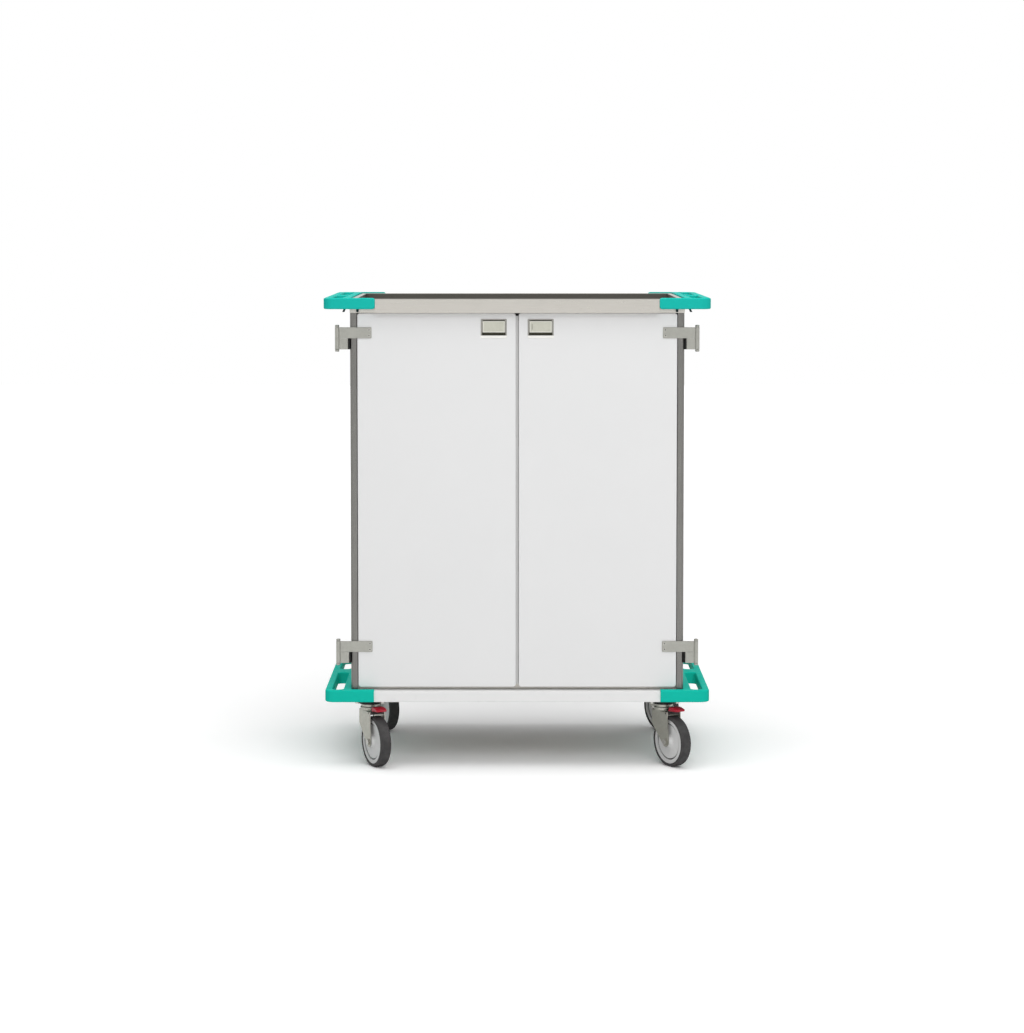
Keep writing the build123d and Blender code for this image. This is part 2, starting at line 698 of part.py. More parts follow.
bezel_front_y = door_front_y - BEZEL_PROUD
cup_back_y = door_front_y + CUP_DEPTH
cup_top_z = handle_z + CUP_HEIGHT / 2 - CUP_WALL
cup_bottom_z = handle_z - CUP_HEIGHT / 2 + CUP_LIP
cup_half = CUP_WIDTH / 2 - CUP_WALL
paddle_top_z = cup_top_z - PADDLE_TOP_GAP
paddle_bottom_z = paddle_top_z - PADDLE_HEIGHT
paddle_front_y = bezel_front_y + PADDLE_SUNK
paddle_half = PADDLE_WIDTH / 2
trunnion_y = paddle_front_y + PADDLE_BARREL / 2
trunnion_z = paddle_top_z - TRUNNION_DROP

with BuildPart() as handle_bezel:
    with BuildSketch(Plane.XZ.offset(-bezel_front_y)):
        with Locations((handle_x, handle_z)):
            RectangleRounded(BEZEL_WIDTH, BEZEL_HEIGHT, BEZEL_CORNER)
    extrude(amount=-BEZEL_PROUD)
    fillet(handle_bezel.faces().sort_by(Axis.Y)[0].edges(), BEZEL_EDGE)
    cup_x = (handle_x - CUP_WIDTH / 2, handle_x + CUP_WIDTH / 2)
    cup_z = (handle_z - CUP_HEIGHT / 2, handle_z + CUP_HEIGHT / 2)
    block(cup_x, (door_front_y, cup_back_y), cup_z)
    inside_x = (handle_x - cup_half, handle_x + cup_half)
    inside_y = (bezel_front_y, cup_back_y - CUP_WALL)
    block(inside_x, inside_y, (cup_bottom_z, cup_top_z), mode=Mode.SUBTRACT)
    cheek_y = (bezel_front_y + PADDLE_SIDE_GAP, bezel_front_y + CHEEK_DEPTH)
    for side in (-1, 1):
        cheek_in_x = handle_x + side * (paddle_half + PADDLE_SIDE_GAP)
        cheek_out_x = handle_x + side * cup_half
        block((cheek_in_x, cheek_out_x), cheek_y, (paddle_bottom_z, cup_top_z))
    socket_half = paddle_half + TRUNNION_LENGTH + TRUNNION_END_GAP
    socket_x = (handle_x - socket_half, handle_x + socket_half)
    socket = TRUNNION + TRUNNION_FIT
    rod("X", socket, (trunnion_y, trunnion_z), socket_x, mode=Mode.SUBTRACT)
save("handle_bezel_right", handle_bezel.part)
save("handle_bezel_left", on_left(handle_bezel.part))


def paddle(grooved):
    """The paddle of the right handle: a plate below a barrel, with a trunnion at each end."""
    with BuildPart() as plate:
        plate_x = (handle_x - paddle_half, handle_x + paddle_half)
        plate_y = (paddle_front_y, paddle_front_y + PADDLE_THICKNESS)
        block(plate_x, plate_y, (paddle_bottom_z, paddle_top_z))
        fillet(plate.faces().sort_by(Axis.Y)[0].edges(), PADDLE_EDGE)
        rod("X", PADDLE_BARREL, (trunnion_y, trunnion_z), plate_x)
        trunnion_half = paddle_half + TRUNNION_LENGTH
        trunnion_x = (handle_x - trunnion_half, handle_x + trunnion_half)
        rod("X", TRUNNION, (trunnion_y, trunnion_z), trunnion_x)
        if grooved:
            groove_x = handle_x - paddle_half + GROOVE_FROM_EDGE
            groove_z = (paddle_top_z + paddle_bottom_z) / 2
            with BuildSketch(Plane.XZ.offset(-paddle_front_y)) as groove:
                with Locations((groove_x, groove_z)):
                    SlotOverall(GROOVE_HEIGHT, GROOVE_WIDTH, rotation=90)
            extrude(groove.sketch, amount=-GROOVE_DEPTH, mode=Mode.SUBTRACT)
    return plate.part


save("handle_paddle_right", paddle(True))
save("handle_paddle_left", on_left(paddle(False)))

# Hinges: a strap on the door and a bent bracket on the post share a capped pin beside the post

with BuildPart() as hinge_straps:
    for level in hinge_levels:
        leaf_z = (level + HINGE_GAP / 2, level + HINGE_GAP / 2 + HINGE_LEAF_HEIGHT)
        block((strap_in_x, pivot_x), (strap_front_y, door_front_y), leaf_z)
        rod("Z", HINGE_KNUCKLE, (pivot_x, pivot_y), leaf_z)
        rod("Z", HINGE_PIN + HINGE_PIN_FIT, (pivot_x, pivot_y), leaf_z, mode=Mode.SUBTRACT)
    end_edges = hinge_straps.edges().filter_by(Axis.Y)
    fillet(edges_at(end_edges, Axis.X, strap_in_x), STRAP_CORNER)
    front_edges = hinge_straps.faces().filter_by(Axis.Y).group_by(Axis.Y)[0].edges()
    fillet(front_edges.filter_by(lambda e: e.center().X < pivot_x - HINGE_KNUCKLE), STRAP_EDGE)
    for place in strap_screw_places():
        rod("Y", STRAP_SCREW, place, (strap_front_y, door_front_y), mode=Mode.SUBTRACT)
save("hinge_straps_right", hinge_straps.part)
save("hinge_straps_left", on_left(hinge_straps.part))

with BuildPart() as strap_screws:
    for place in strap_screw_places():
        head_y = (strap_front_y - STRAP_SCREW_HEAD_HEIGHT, strap_front_y)
        rod("Y", STRAP_SCREW_HEAD, place, head_y)
        rod("Y", STRAP_SCREW, place, (strap_front_y, strap_front_y + STRAP_SCREW_LENGTH))
    head_faces = strap_screws.faces().filter_by(Axis.Y).group_by(Axis.Y)[0]
    fillet(head_faces.edges(), STRAP_SCREW_HEAD_HEIGHT / 2)
save("strap_screws_right", strap_screws.part)
save("strap_screws_left", on_left(strap_screws.part))

spacer_out_x = half_width + SPACER_THICKNESS
bracket_out_x = spacer_out_x + HINGE_SHEET
bracket_back_y = -half_depth + SPACER_DEPTH
bracket_screw_y = -half_depth + SPACER_DEPTH / 2 + BRACKET_SCREW_SETBACK


def bracket_span(level):
    """The heights between which a hinge's fixed leaf lies, just below its strap."""
    return (level - HINGE_GAP / 2 - HINGE_LEAF_HEIGHT, level - HINGE_GAP / 2)


def cap_bottom(level):
    """The underside of a pin's upper cap, a gap above the strap's knuckle."""
    return level + HINGE_GAP / 2 + HINGE_LEAF_HEIGHT + HINGE_GAP


def bracket_screw_heights(level):
    """The heights of the two screws of one fixed leaf."""
    middle = sum(bracket_span(level)) / 2
    return [middle + step * BRACKET_SCREW_SPREAD for step in (-0.5, 0.5)]


with BuildPart() as hinge_brackets:
    for level in hinge_levels:
        leaf_z = bracket_span(level)
        block((spacer_out_x, pivot_x), (strap_front_y, door_front_y), leaf_z)
        block((spacer_out_x, bracket_out_x), (strap_front_y, bracket_back_y), leaf_z)
        rod("Z", HINGE_KNUCKLE, (pivot_x, pivot_y), leaf_z)
        rod("Z", HINGE_PIN + HINGE_PIN_FIT, (pivot_x, pivot_y), leaf_z, mode=Mode.SUBTRACT)
    bend_edges = edges_at(hinge_brackets.edges().filter_by(Axis.Z), Axis.X, spacer_out_x)
    fillet(edges_at(bend_edges, Axis.Y, strap_front_y), HINGE_BEND)
    for level in hinge_levels:
        for screw_z in bracket_screw_heights(level):
            centre = (bracket_screw_y, screw_z)
            rod("X", BRACKET_SCREW, centre, (spacer_out_x, bracket_out_x), mode=Mode.SUBTRACT)
    mirror(about=Plane.YZ)
save("hinge_brackets", hinge_brackets.part)

with BuildPart() as hinge_spacers:
    for level in hinge_levels:
        block((half_width, spacer_out_x), (-half_depth, bracket_back_y), bracket_span(level))
        for screw_z in bracket_screw_heights(level):
            centre = (bracket_screw_y, screw_z)
            rod("X", BRACKET_SCREW, centre, (half_width, spacer_out_x), mode=Mode.SUBTRACT)
    mirror(about=Plane.YZ)
save("hinge_spacers", hinge_spacers.part)

with BuildPart() as bracket_screws:
    for level in hinge_levels:
        for screw_z in bracket_screw_heights(level):
            centre = (bracket_screw_y, screw_z)
            head_end = bracket_out_x + BRACKET_SCREW_HEAD_HEIGHT
            rod("X", BRACKET_SCREW_HEAD, centre, (bracket_out_x, head_end))
            rod("X", BRACKET_SCREW, centre, (bracket_out_x - BRACKET_SCREW_LENGTH, bracket_out_x))
    mirror(about=Plane.YZ)
save("bracket_screws", bracket_screws.part)

with BuildPart() as hinge_pins:
    for level in hinge_levels:
        low_cap_top = bracket_span(level)[0]
        high_cap_z = (cap_bottom(level), cap_bottom(level) + HINGE_CAP_HEIGHT)
        rod("Z", HINGE_CAP, (pivot_x, pivot_y), (low_cap_top - HINGE_CAP_HEIGHT, low_cap_top))
        rod("Z", HINGE_CAP, (pivot_x, pivot_y), high_cap_z)
    chamfer(hinge_pins.edges().filter_by(GeomType.CIRCLE), HINGE_CAP_EDGE)
    for level in hinge_levels:
        shaft_z = (bracket_span(level)[0], cap_bottom(level))
        rod("Z", HINGE_PIN, (pivot_x, pivot_y), shaft_z)
    mirror(about=Plane.YZ)
save("hinge_pins", hinge_pins.part)

# Shelves hang on clips in slotted standards along the side panels

standard_in_x = post_in_x - STANDARD_DEPTH
standard_foot_z = base_top + FLOOR_THICKNESS + STANDARD_FOOT
standard_head_z = tray_bottom - STANDARD_HEAD
slot_count = int((standard_head_z - standard_foot_z - SLOT_FIRST - SLOT_HEIGHT) / SLOT_PITCH) + 1
shelf_half = standard_in_x - SHELF_SIDE_GAP


def slot_height(index):
    """The height of the middle of one slot of a standard."""
    return standard_foot_z + SLOT_FIRST + index * SLOT_PITCH


with BuildPart() as shelf_standards:
    standard_y = (STANDARD_PLACE - STANDARD_WIDTH / 2, STANDARD_PLACE + STANDARD_WIDTH / 2)
    channel_y = (standard_y[0] + STANDARD_WALL, standard_y[1] - STANDARD_WALL)
    standard_z = (standard_foot_z, standard_head_z)
    block((standard_in_x, post_in_x), standard_y, standard_z)
    block((standard_in_x + STANDARD_WALL, post_in_x), channel_y, standard_z, mode=Mode.SUBTRACT)
    slot_places = [(standard_in_x, STANDARD_PLACE, slot_height(index)) for index in range(slot_count)]
    with Locations(slot_places):
        Box(2 * STANDARD_WALL, SLOT_WIDTH, SLOT_HEIGHT, mode=Mode.SUBTRACT)
    mirror(about=Plane.XZ)
    mirror(about=Plane.YZ)
save("shelf_standards", shelf_standards.part)


def shelf(slot_index):
    """A folded sheet shelf with a lip down each edge, resting on its four clips."""
    lip_bottom = slot_height(slot_index) + SLOT_HEIGHT / 2
    shelf_top = lip_bottom + SHELF_LIP
    shelf_y = (cabin_front_y + SHELF_FRONT_GAP, back_panel_in - SHELF_BACK_GAP)
    inside_x = (-shelf_half + SHELF_SHEET, shelf_half - SHELF_SHEET)
    inside_y = (shelf_y[0] + SHELF_SHEET, shelf_y[1] - SHELF_SHEET)
    with BuildPart() as sheet:
        block((-shelf_half, shelf_half), shelf_y, (lip_bottom, shelf_top))
        block(inside_x, inside_y, (lip_bottom, shelf_top - SHELF_SHEET), mode=Mode.SUBTRACT)
    return sheet.part


save("shelf_lower", shelf(SHELF_SLOTS[0]))
save("shelf_upper", shelf(SHELF_SLOTS[1]))

with BuildPart() as shelf_clips:
    for index in SHELF_SLOTS:
        tongue_top = slot_height(index) + SLOT_HEIGHT / 2
        clip_y = (STANDARD_PLACE - CLIP_WIDTH / 2, STANDARD_PLACE + CLIP_WIDTH / 2)
        hook_half = SLOT_WIDTH / 2 - CLIP_HOOK_FIT
        hook_y = (STANDARD_PLACE - hook_half, STANDARD_PLACE + hook_half)
        hook_z = (tongue_top - SLOT_HEIGHT, tongue_top - CLIP_SHEET)
        tongue_x = (standard_in_x - CLIP_REACH, standard_in_x)
        block(tongue_x, clip_y, (tongue_top - CLIP_SHEET, tongue_top))
        upright_x = (standard_in_x - CLIP_SHEET, standard_in_x)
        block(upright_x, clip_y, (tongue_top - CLIP_DROP, tongue_top))
        block((standard_in_x, standard_in_x + CLIP_HOOK_DEPTH), hook_y, hook_z)
    mirror(about=Plane.XZ)
    mirror(about=Plane.YZ)
save("shelf_clips", shelf_clips.part)

# Casters, each made about its own swivel axis with its wheel trailing towards -Y, then turned and moved

wheel_y = -CASTER_TRAIL
leg_in_x = HUB_WIDTH / 2 + FORK_SIDE_GAP
leg_out_x = leg_in_x + FORK_SHEET
core_radius = WHEEL_DIAMETER / 2 - TYRE_DEPTH
wheel_section = Plane(origin=(0, wheel_y, axle_z), x_dir=(1, 0, 0), z_dir=(0, -1, 0))
axle_line = Axis((0, wheel_y, axle_z), (1, 0, 0))
pedal_pivot_y = -PEDAL_PIVOT_REACH
pedal_pivot_z = crown_bottom - PEDAL_PIVOT_BELOW_CROWN

CASTERS = {
    "front_left": (-caster_x, -caster_y, CASTER_YAW_LEFT),
    "front_right": (caster_x, -caster_y, CASTER_YAW_RIGHT),
    "back_left": (-caster_x, caster_y, CASTER_YAW_LEFT),
    "back_right": (caster_x, caster_y, CASTER_YAW_RIGHT),
}


def caster_fork(braked):
    """A pressed fork: two tapering legs below a crown, with the lower half of the swivel race."""
    with BuildPart() as fork:
        for side in (-1, 1):
            with BuildSketch(Plane.YZ.offset(side * leg_in_x)) as leg:
                with Locations((wheel_y, axle_z)):
                    Circle(FORK_FOOT)
                with Locations(((FORK_BACK - FORK_EAR) / 2, crown_top - FORK_SKIRT / 2)):
                    Rectangle(FORK_BACK + FORK_EAR, FORK_SKIRT)
                with Locations((FORK_BACK / 2, crown_top - FORK_BACK_SKIRT / 2)):
                    Rectangle(FORK_BACK, FORK_BACK_SKIRT)
                make_hull()
            extrude(leg.sketch, amount=side * FORK_SHEET)
        block((-leg_out_x, leg_out_x), (-FORK_FRONT, FORK_BACK), (crown_bottom, crown_top))
        for side in (-1, 1):
            bend_edges = edges_at(fork.edges().filter_by(Axis.Y), Axis.Z, crown_top)
            fillet(edges_at(bend_edges, Axis.X, side * leg_out_x), FORK_BEND)
        shoulder_z = crown_top + RACE_SHOULDER
        rod("Z", RACE_DIAMETER, (0, 0), (crown_top, shoulder_z))
        chamfer(fork.edges().filter_by(GeomType.CIRCLE).sort_by(Axis.Z)[-1], RACE_EDGE)
        rod("Z", RACE_NECK, (0, 0), (shoulder_z, race_top))
        pin_z = (crown_bottom, race_top)
        rod("Z", KING_PIN + KING_PIN_FIT, (0, 0), pin_z, mode=Mode.SUBTRACT)
        legs_x = (-leg_out_x, leg_out_x)
        rod("X", AXLE, (wheel_y, axle_z), legs_x, mode=Mode.SUBTRACT)
        if braked:
            pin_hole = PEDAL_PIN + PEDAL_PIN_FIT
            rod("X", pin_hole, (pedal_pivot_y, pedal_pivot_z), legs_x, mode=Mode.SUBTRACT)
    return fork.part


def wheel_axle():
    """The axle bolt, with a hexagon at each end outside the fork's legs."""
    with BuildPart() as axle:
        rod("X", AXLE, (wheel_y, axle_z), (-leg_out_x, leg_out_x + AXLE_HEAD_HEIGHT + AXLE_TAIL))
        for side in (-1, 1):
            with BuildSketch(Plane.YZ.offset(side * leg_out_x)) as head:
                with Locations((wheel_y, axle_z)):
                    RegularPolygon(AXLE_HEAD / 2, 6, major_radius=False)
            extrude(head.sketch, amount=side * AXLE_HEAD_HEIGHT)
    return axle.part


def wheel_core():
    """The wheel's moulded core: a long hub, a thick disc, a groove and a proud rim ring."""
    bore = (AXLE + AXLE_FIT) / 2
    hub = HUB_DIAMETER / 2
    groove_out = core_radius - RIM_RING
    groove_in = groove_out - RIM_GROOVE
    half_profile = [
        (HUB_WIDTH / 2, bore),
        (HUB_WIDTH / 2, hub),
        (RIM_WIDTH / 2, hub + HUB_FLARE),
        (DISC_WIDTH / 2, hub + 2 * HUB_FLARE),
        (DISC_WIDTH / 2, groove_in),
        (DISC_WIDTH / 2 - RIM_GROOVE_DEPTH, groove_in),
        (DISC_WIDTH / 2 - RIM_GROOVE_DEPTH, groove_out),
        (RIM_WIDTH / 2, groove_out),
        (RIM_WIDTH / 2, core_radius - RIM_EDGE),
        (RIM_WIDTH / 2 - RIM_EDGE, core_radius),
    ]
    other_half = [(-across, radius) for across, radius in reversed(half_profile)]
    with BuildPart() as core:
        with BuildSketch(wheel_section) as profile:
            with BuildLine():
                Polyline(*half_profile, *other_half, close=True)
            make_face()
        revolve(profile.sketch, axis=axle_line)
    return core.part


def wheel_tyre():
    """The tyre: a band round the core with rounded shoulders."""
    with BuildPart() as tyre:
        with BuildSketch(wheel_section) as profile:
            with Locations((0, core_radius + TYRE_DEPTH / 2)):
                Rectangle(WHEEL_WIDTH, TYRE_DEPTH)
            fillet(profile.vertices().group_by(Axis.Y)[-1], TYRE_SHOULDER)
        revolve(profile.sketch, axis=axle_line)
    return tyre.part


def brake_pedal():
    """The brake pedal: a broad pad with a thinner tip on a barrel that turns in the fork's ears."""
    barrel_half = leg_in_x - PEDAL_SIDE_GAP
    pad_bottom = pedal_pivot_z + PEDAL_RISE
    pad_top = pad_bottom + PEDAL_THICKNESS
    pad_back = -FORK_EAR
    taper_y = PEDAL_TAPER - PEDAL_REACH
    with BuildPart() as pedal:
        with BuildSketch(Plane.YZ.offset(-PEDAL_WIDTH / 2)) as side_view:
            with BuildLine():
                Polyline(
                    (pedal_pivot_y, pedal_pivot_z - PEDAL_BARREL / 2),
                    (pad_back - PEDAL_RISE, pad_bottom),
                    (taper_y, pad_bottom),
                    (-PEDAL_REACH, pad_bottom + PEDAL_TIP_LIFT),
                    (-PEDAL_REACH, pad_top - PEDAL_TIP_DROP),
                    (taper_y, pad_top),
                    (pad_back, pad_top),
                    (pedal_pivot_y, pedal_pivot_z + PEDAL_BARREL / 2),
                    close=True,
                )
            make_face()
        extrude(side_view.sketch, amount=PEDAL_WIDTH)
        tip_edges = edges_at(pedal.edges().filter_by(Axis.Z), Axis.Y, -PEDAL_REACH)
        fillet(tip_edges, PEDAL_CORNER)
        fillet(pedal.faces().sort_by(Axis.Y)[0].edges(), PEDAL_ROUND)
        rod("X", PEDAL_BARREL, (pedal_pivot_y, pedal_pivot_z), (-barrel_half, barrel_half))
        rod("X", PEDAL_PIN, (pedal_pivot_y, pedal_pivot_z), (-leg_out_x, leg_out_x))
    return pedal.part


axle_part = wheel_axle()
core_part = wheel_core()
tyre_part = wheel_tyre()
pedal_part = brake_pedal()
for corner, (x, y, yaw) in CASTERS.items():
    braked = corner.startswith("front")
    place = Location((x, y, 0), (0, 0, yaw))
    save(f"caster_fork_{corner}", caster_fork(braked).moved(place))
    save(f"wheel_axle_{corner}", axle_part.moved(place))
    save(f"wheel_core_{corner}", core_part.moved(place))
    save(f"wheel_tyre_{corner}", tyre_part.moved(place))
    if braked:
        save(f"brake_pedal_{corner}", pedal_part.moved(place))

# Caster mounts: a plate below the rails, a puck with the upper half of the race, and the king pin

with BuildPart() as caster_mounts:
    for x, y, yaw in CASTERS.values():
        with BuildSketch(Plane.XY.offset(puck_top)):
            with Locations((x, y)):
                RectangleRounded(MOUNT_WIDTH, MOUNT_DEPTH, MOUNT_CORNER)
        extrude(amount=MOUNT_THICKNESS)
        pin_head_top = crown_bottom - SWIVEL_GAP
        rod("Z", PUCK_DIAMETER, (x, y), (puck_bottom, puck_top))
        rod("Z", KING_PIN, (x, y), (pin_head_top, puck_bottom))
        rod("Z", KING_PIN_HEAD, (x, y), (pin_head_top - KING_PIN_HEAD_HEIGHT, pin_head_top))
    for place in mount_bolt_places():
        rod("Z", MOUNT_BOLT, place, (puck_top, base_bottom), mode=Mode.SUBTRACT)
save("caster_mounts", caster_mounts.part)

with BuildPart() as caster_bolts:
    with BuildSketch(Plane.XY.offset(puck_top)) as heads:
        with Locations(mount_bolt_places()):
            RegularPolygon(MOUNT_BOLT_HEAD / 2, 6, major_radius=False)
    extrude(amount=-MOUNT_BOLT_HEAD_HEIGHT)
    for place in mount_bolt_places():
        rod("Z", MOUNT_BOLT, place, (puck_top, puck_top + MOUNT_BOLT_LENGTH))
save("caster_bolts", caster_bolts.part)
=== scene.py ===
"""The closed case cart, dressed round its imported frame.

Lengths are metres in the frame's own axes: X to the right, Y to the back, Z up, the floor at zero.
"""
import json
import math

import bpy
import numpy as np
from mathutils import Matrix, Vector


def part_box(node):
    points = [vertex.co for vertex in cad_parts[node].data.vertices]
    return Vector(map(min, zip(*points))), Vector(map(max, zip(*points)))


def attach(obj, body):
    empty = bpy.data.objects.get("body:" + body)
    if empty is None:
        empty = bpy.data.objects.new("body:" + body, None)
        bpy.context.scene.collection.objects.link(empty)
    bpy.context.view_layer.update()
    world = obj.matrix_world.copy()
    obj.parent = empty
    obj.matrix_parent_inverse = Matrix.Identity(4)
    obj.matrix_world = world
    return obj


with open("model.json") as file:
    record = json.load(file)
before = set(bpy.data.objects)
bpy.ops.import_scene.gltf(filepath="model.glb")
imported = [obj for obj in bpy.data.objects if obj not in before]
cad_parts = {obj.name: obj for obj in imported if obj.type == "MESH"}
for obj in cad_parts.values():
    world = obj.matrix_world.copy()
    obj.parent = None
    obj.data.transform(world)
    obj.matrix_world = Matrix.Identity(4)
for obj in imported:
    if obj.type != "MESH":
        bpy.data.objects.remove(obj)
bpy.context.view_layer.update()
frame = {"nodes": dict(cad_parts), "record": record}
scene = bpy.context.scene
NODES = frame["nodes"]
JOINTS = {joint["name"]: joint for joint in frame["record"]["behaviour"]["joints"]}
# The way along X in which each side lies
SIDES = {"left": -1, "right": 1}

# Camera, standing where the photograph's camera stood
IMAGE_HEIGHT = 1033
CAMERA_X = -0.0165
CAMERA_DISTANCE = 8.486
CAMERA_HEIGHT = 1.723
CAMERA_FOCAL_PIXELS = 2702.6
CAMERA_TILT = math.radians(3.567)
CAMERA_SHIFT = -0.12
SENSOR = 36.0


def set_camera():
    """A long lens in front of the doors, a little higher than the tray, tilted a little down.

    The sensor spans the longer side of the picture, which is its height.
    """
    data = bpy.data.cameras.new("front_camera")
    data.sensor_width = SENSOR
    data.lens = SENSOR * CAMERA_FOCAL_PIXELS / IMAGE_HEIGHT
    data.shift_y = CAMERA_SHIFT
    camera = bpy.data.objects.new("front_camera", data)
    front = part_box("bumper_top_front_left")[0].y
    camera.location = (CAMERA_X, front - CAMERA_DISTANCE, CAMERA_HEIGHT)
    camera.rotation_euler = (math.pi / 2 - CAMERA_TILT, 0, 0)
    scene.collection.objects.link(camera)
    scene.camera = camera


# Node trees. A Mix node's sockets go by number, because their names repeat for each kind of value
MIX_FACTOR = 0
MIX_NUMBERS = (2, 3)
MIX_COLOURS = (6, 7)
MIX_NUMBER_RESULT = 0
MIX_COLOUR_RESULT = 2
SIGHT_RAYS = ("Is Camera Ray", "Is Glossy Ray")


def feed(tree, value, socket):
    """Give an input socket a plain number, or join it to the output that works the number out."""
    if isinstance(value, (int, float)):
        socket.default_value = value
    else:
        tree.links.new(value, socket)


def calculated(tree, operation, first, second):
    """Two values put through one operation of a Math node."""
    node = tree.nodes.new("ShaderNodeMath")
    node.operation = operation
    feed(tree, first, node.inputs[0])
    feed(tree, second, node.inputs[1])
    return node.outputs[0]


def stretched(tree, value, low, high, out_low, out_high):
    """A value stretched from one range to another and clamped."""
    node = tree.nodes.new("ShaderNodeMapRange")
    for number, socket in zip((value, low, high, out_low, out_high), node.inputs):
        feed(tree, number, socket)
    return node.outputs[0]


def mixed(tree, factor, first, second):
    """A number that goes from the first to the second as the factor goes from zero to one."""
    node = tree.nodes.new("ShaderNodeMix")
    feed(tree, factor, node.inputs[MIX_FACTOR])
    feed(tree, first, node.inputs[MIX_NUMBERS[0]])
    feed(tree, second, node.inputs[MIX_NUMBERS[1]])
    return node.outputs[MIX_NUMBER_RESULT]


def rays_of(tree, *kinds):
    """One for light rays of any of these kinds, and zero for the rest."""
    rays = tree.nodes.new("ShaderNodeLightPath").outputs
    found = rays[kinds[0]]
    for kind in kinds[1:]:
        found = calculated(tree, "MAXIMUM", found, rays[kind])
    return found


# The range that soft noise mostly keeps to, and how softly a painted border fades
NOISE_LOW = 0.3
NOISE_HIGH = 0.7
BORDER_SOFT = 0.0004


class Finish:
    """One surface finish: a Principled shader and the nodes that vary it over a piece."""

    def __init__(self, name, colour, roughness, metallic=0.0, specular=0.5, coat=0.0):
        self.material = bpy.data.materials.new(name)
        self.material.use_nodes = True
        self.tree = self.material.node_tree
        self.shader = self.tree.nodes["Principled BSDF"]
        self.shader.inputs["Base Color"].default_value = (*colour, 1)
        self.shader.inputs["Roughness"].default_value = roughness
        self.shader.inputs["Metallic"].default_value = metallic
        self.shader.inputs["Specular IOR Level"].default_value = specular
        self.shader.inputs["Coat Weight"].default_value = coat
        self.colour = None
        self.normal = None
        self.place = self.tree.nodes.new("ShaderNodeTexCoord").outputs["Object"]

    def link(self, source, target):
        """Join two sockets."""
        self.tree.links.new(source, target)

    def noise(self, scale, stretch=(1, 1, 1), detail=3.0):
        """Soft noise in object space. A small stretch along an axis draws it out along that axis."""
        mapping = self.tree.nodes.new("ShaderNodeMapping")
        mapping.inputs["Scale"].default_value = stretch
        texture = self.tree.nodes.new("ShaderNodeTexNoise")
        texture.inputs["Scale"].default_value = scale
        texture.inputs["Detail"].default_value = detail
        self.link(self.place, mapping.inputs["Vector"])
        self.link(mapping.outputs["Vector"], texture.inputs["Vector"])
        return texture.outputs[0]

    def tint(self, factor, colour):
        """Mix the base colour towards another colour by a factor."""
        mix = self.tree.nodes.new("ShaderNodeMix")
        mix.data_type = "RGBA"
        base = self.shader.inputs["Base Color"]
        first, second = [mix.inputs[index] for index in MIX_COLOURS]
        if self.colour is None:
            first.default_value = base.default_value
        else:
            self.link(self.colour, first)
        second.default_value = (*colour, 1)
        self.link(factor, mix.inputs[MIX_FACTOR])
        self.colour = mix.outputs[MIX_COLOUR_RESULT]
        self.link(self.colour, base)

    def patches(self, noise, low, high, most, colour):
        """Mix in another colour in patches: none where the noise is low, and the most where it is high."""
        self.tint(stretched(self.tree, noise, low, high, 0.0, most), colour)

    def beyond(self, axis, place, soft=BORDER_SOFT):
        """One where the coordinate on an axis (0, 1 or 2) is past a place, and zero before it."""
        node = self.tree.nodes.new("ShaderNodeSeparateXYZ")
        self.link(self.place, node.inputs[0])
        return stretched(self.tree, node.outputs[axis], place - soft, place + soft, 0.0, 1.0)

    def combined(self, *masks):
        """The product of several masks."""
        total = masks[0]
        for mask in masks[1:]:
            total = calculated(self.tree, "MULTIPLY", total, mask)
        return total

    def opposite(self, mask):
        """One less a mask."""
        return stretched(self.tree, mask, 0.0, 1.0, 1.0, 0.0)

    def between(self, axis, low, high, soft=BORDER_SOFT):
        """One between two places on an axis, and zero outside them."""
        return self.combined(self.beyond(axis, low, soft), self.opposite(self.beyond(axis, high, soft)))

    def vary_roughness(self, noise, low, high):
        """Let the roughness follow a noise between two limits."""
        rough = stretched(self.tree, noise, NOISE_LOW, NOISE_HIGH, low, high)
        self.link(rough, self.shader.inputs["Roughness"])

    def bump(self, height, strength, distance):
        """Raise the surface by a height field, on top of any bump already there."""
        node = self.tree.nodes.new("ShaderNodeBump")
        node.inputs["Strength"].default_value = strength
        node.inputs["Distance"].default_value = distance
        self.link(height, node.inputs["Height"])
        if self.normal is not None:
            self.link(self.normal, node.inputs["Normal"])
        self.normal = node.outputs["Normal"]
        self.link(self.normal, self.shader.inputs["Normal"])


# General finishes. A brushing is drawn out along one axis
TEAL = (0.014, 0.480, 0.410)
BASE_TEAL = (0.010, 0.510, 0.398)
CLOUD_GAIN = 1.08
STAINLESS = (0.515, 0.495, 0.457)
STAINLESS_DARK = (0.462, 0.444, 0.410)
ALONG_X = (0.012, 1.0, 1.0)
ALONG_Z = (1.0, 1.0, 0.012)


def teal_plastic(name, colour, lug_top=None):
    """Moulded teal bumper plastic: fine pebbled skin, faint flow marks and pale scuffs.

    Where a lug top is given, everything below that height is tinted near black: painted shade on the teal
    lugs under the bumper.
    """
    finish = Finish(name, colour, 0.48, specular=0.01)
    finish.patches(finish.noise(14.0), 0.35, 0.70, 0.5, [CLOUD_GAIN * part for part in colour])
    finish.patches(finish.noise(60.0, (0.25, 0.25, 3.0), 6.0), 0.68, 0.82, 0.20, (0.120, 0.600, 0.540))
    if lug_top is not None:
        # painted shade: below the lug top the teal is tinted near black
        finish.tint(finish.opposite(finish.beyond(2, lug_top)), (0.012, 0.030, 0.030))
    finish.vary_roughness(finish.noise(35.0, detail=5.0), 0.40, 0.58)
    finish.bump(finish.noise(1100.0, detail=2.0), 0.12, 0.0004)
    finish.bump(finish.noise(24.0), 0.05, 0.001)
    return finish


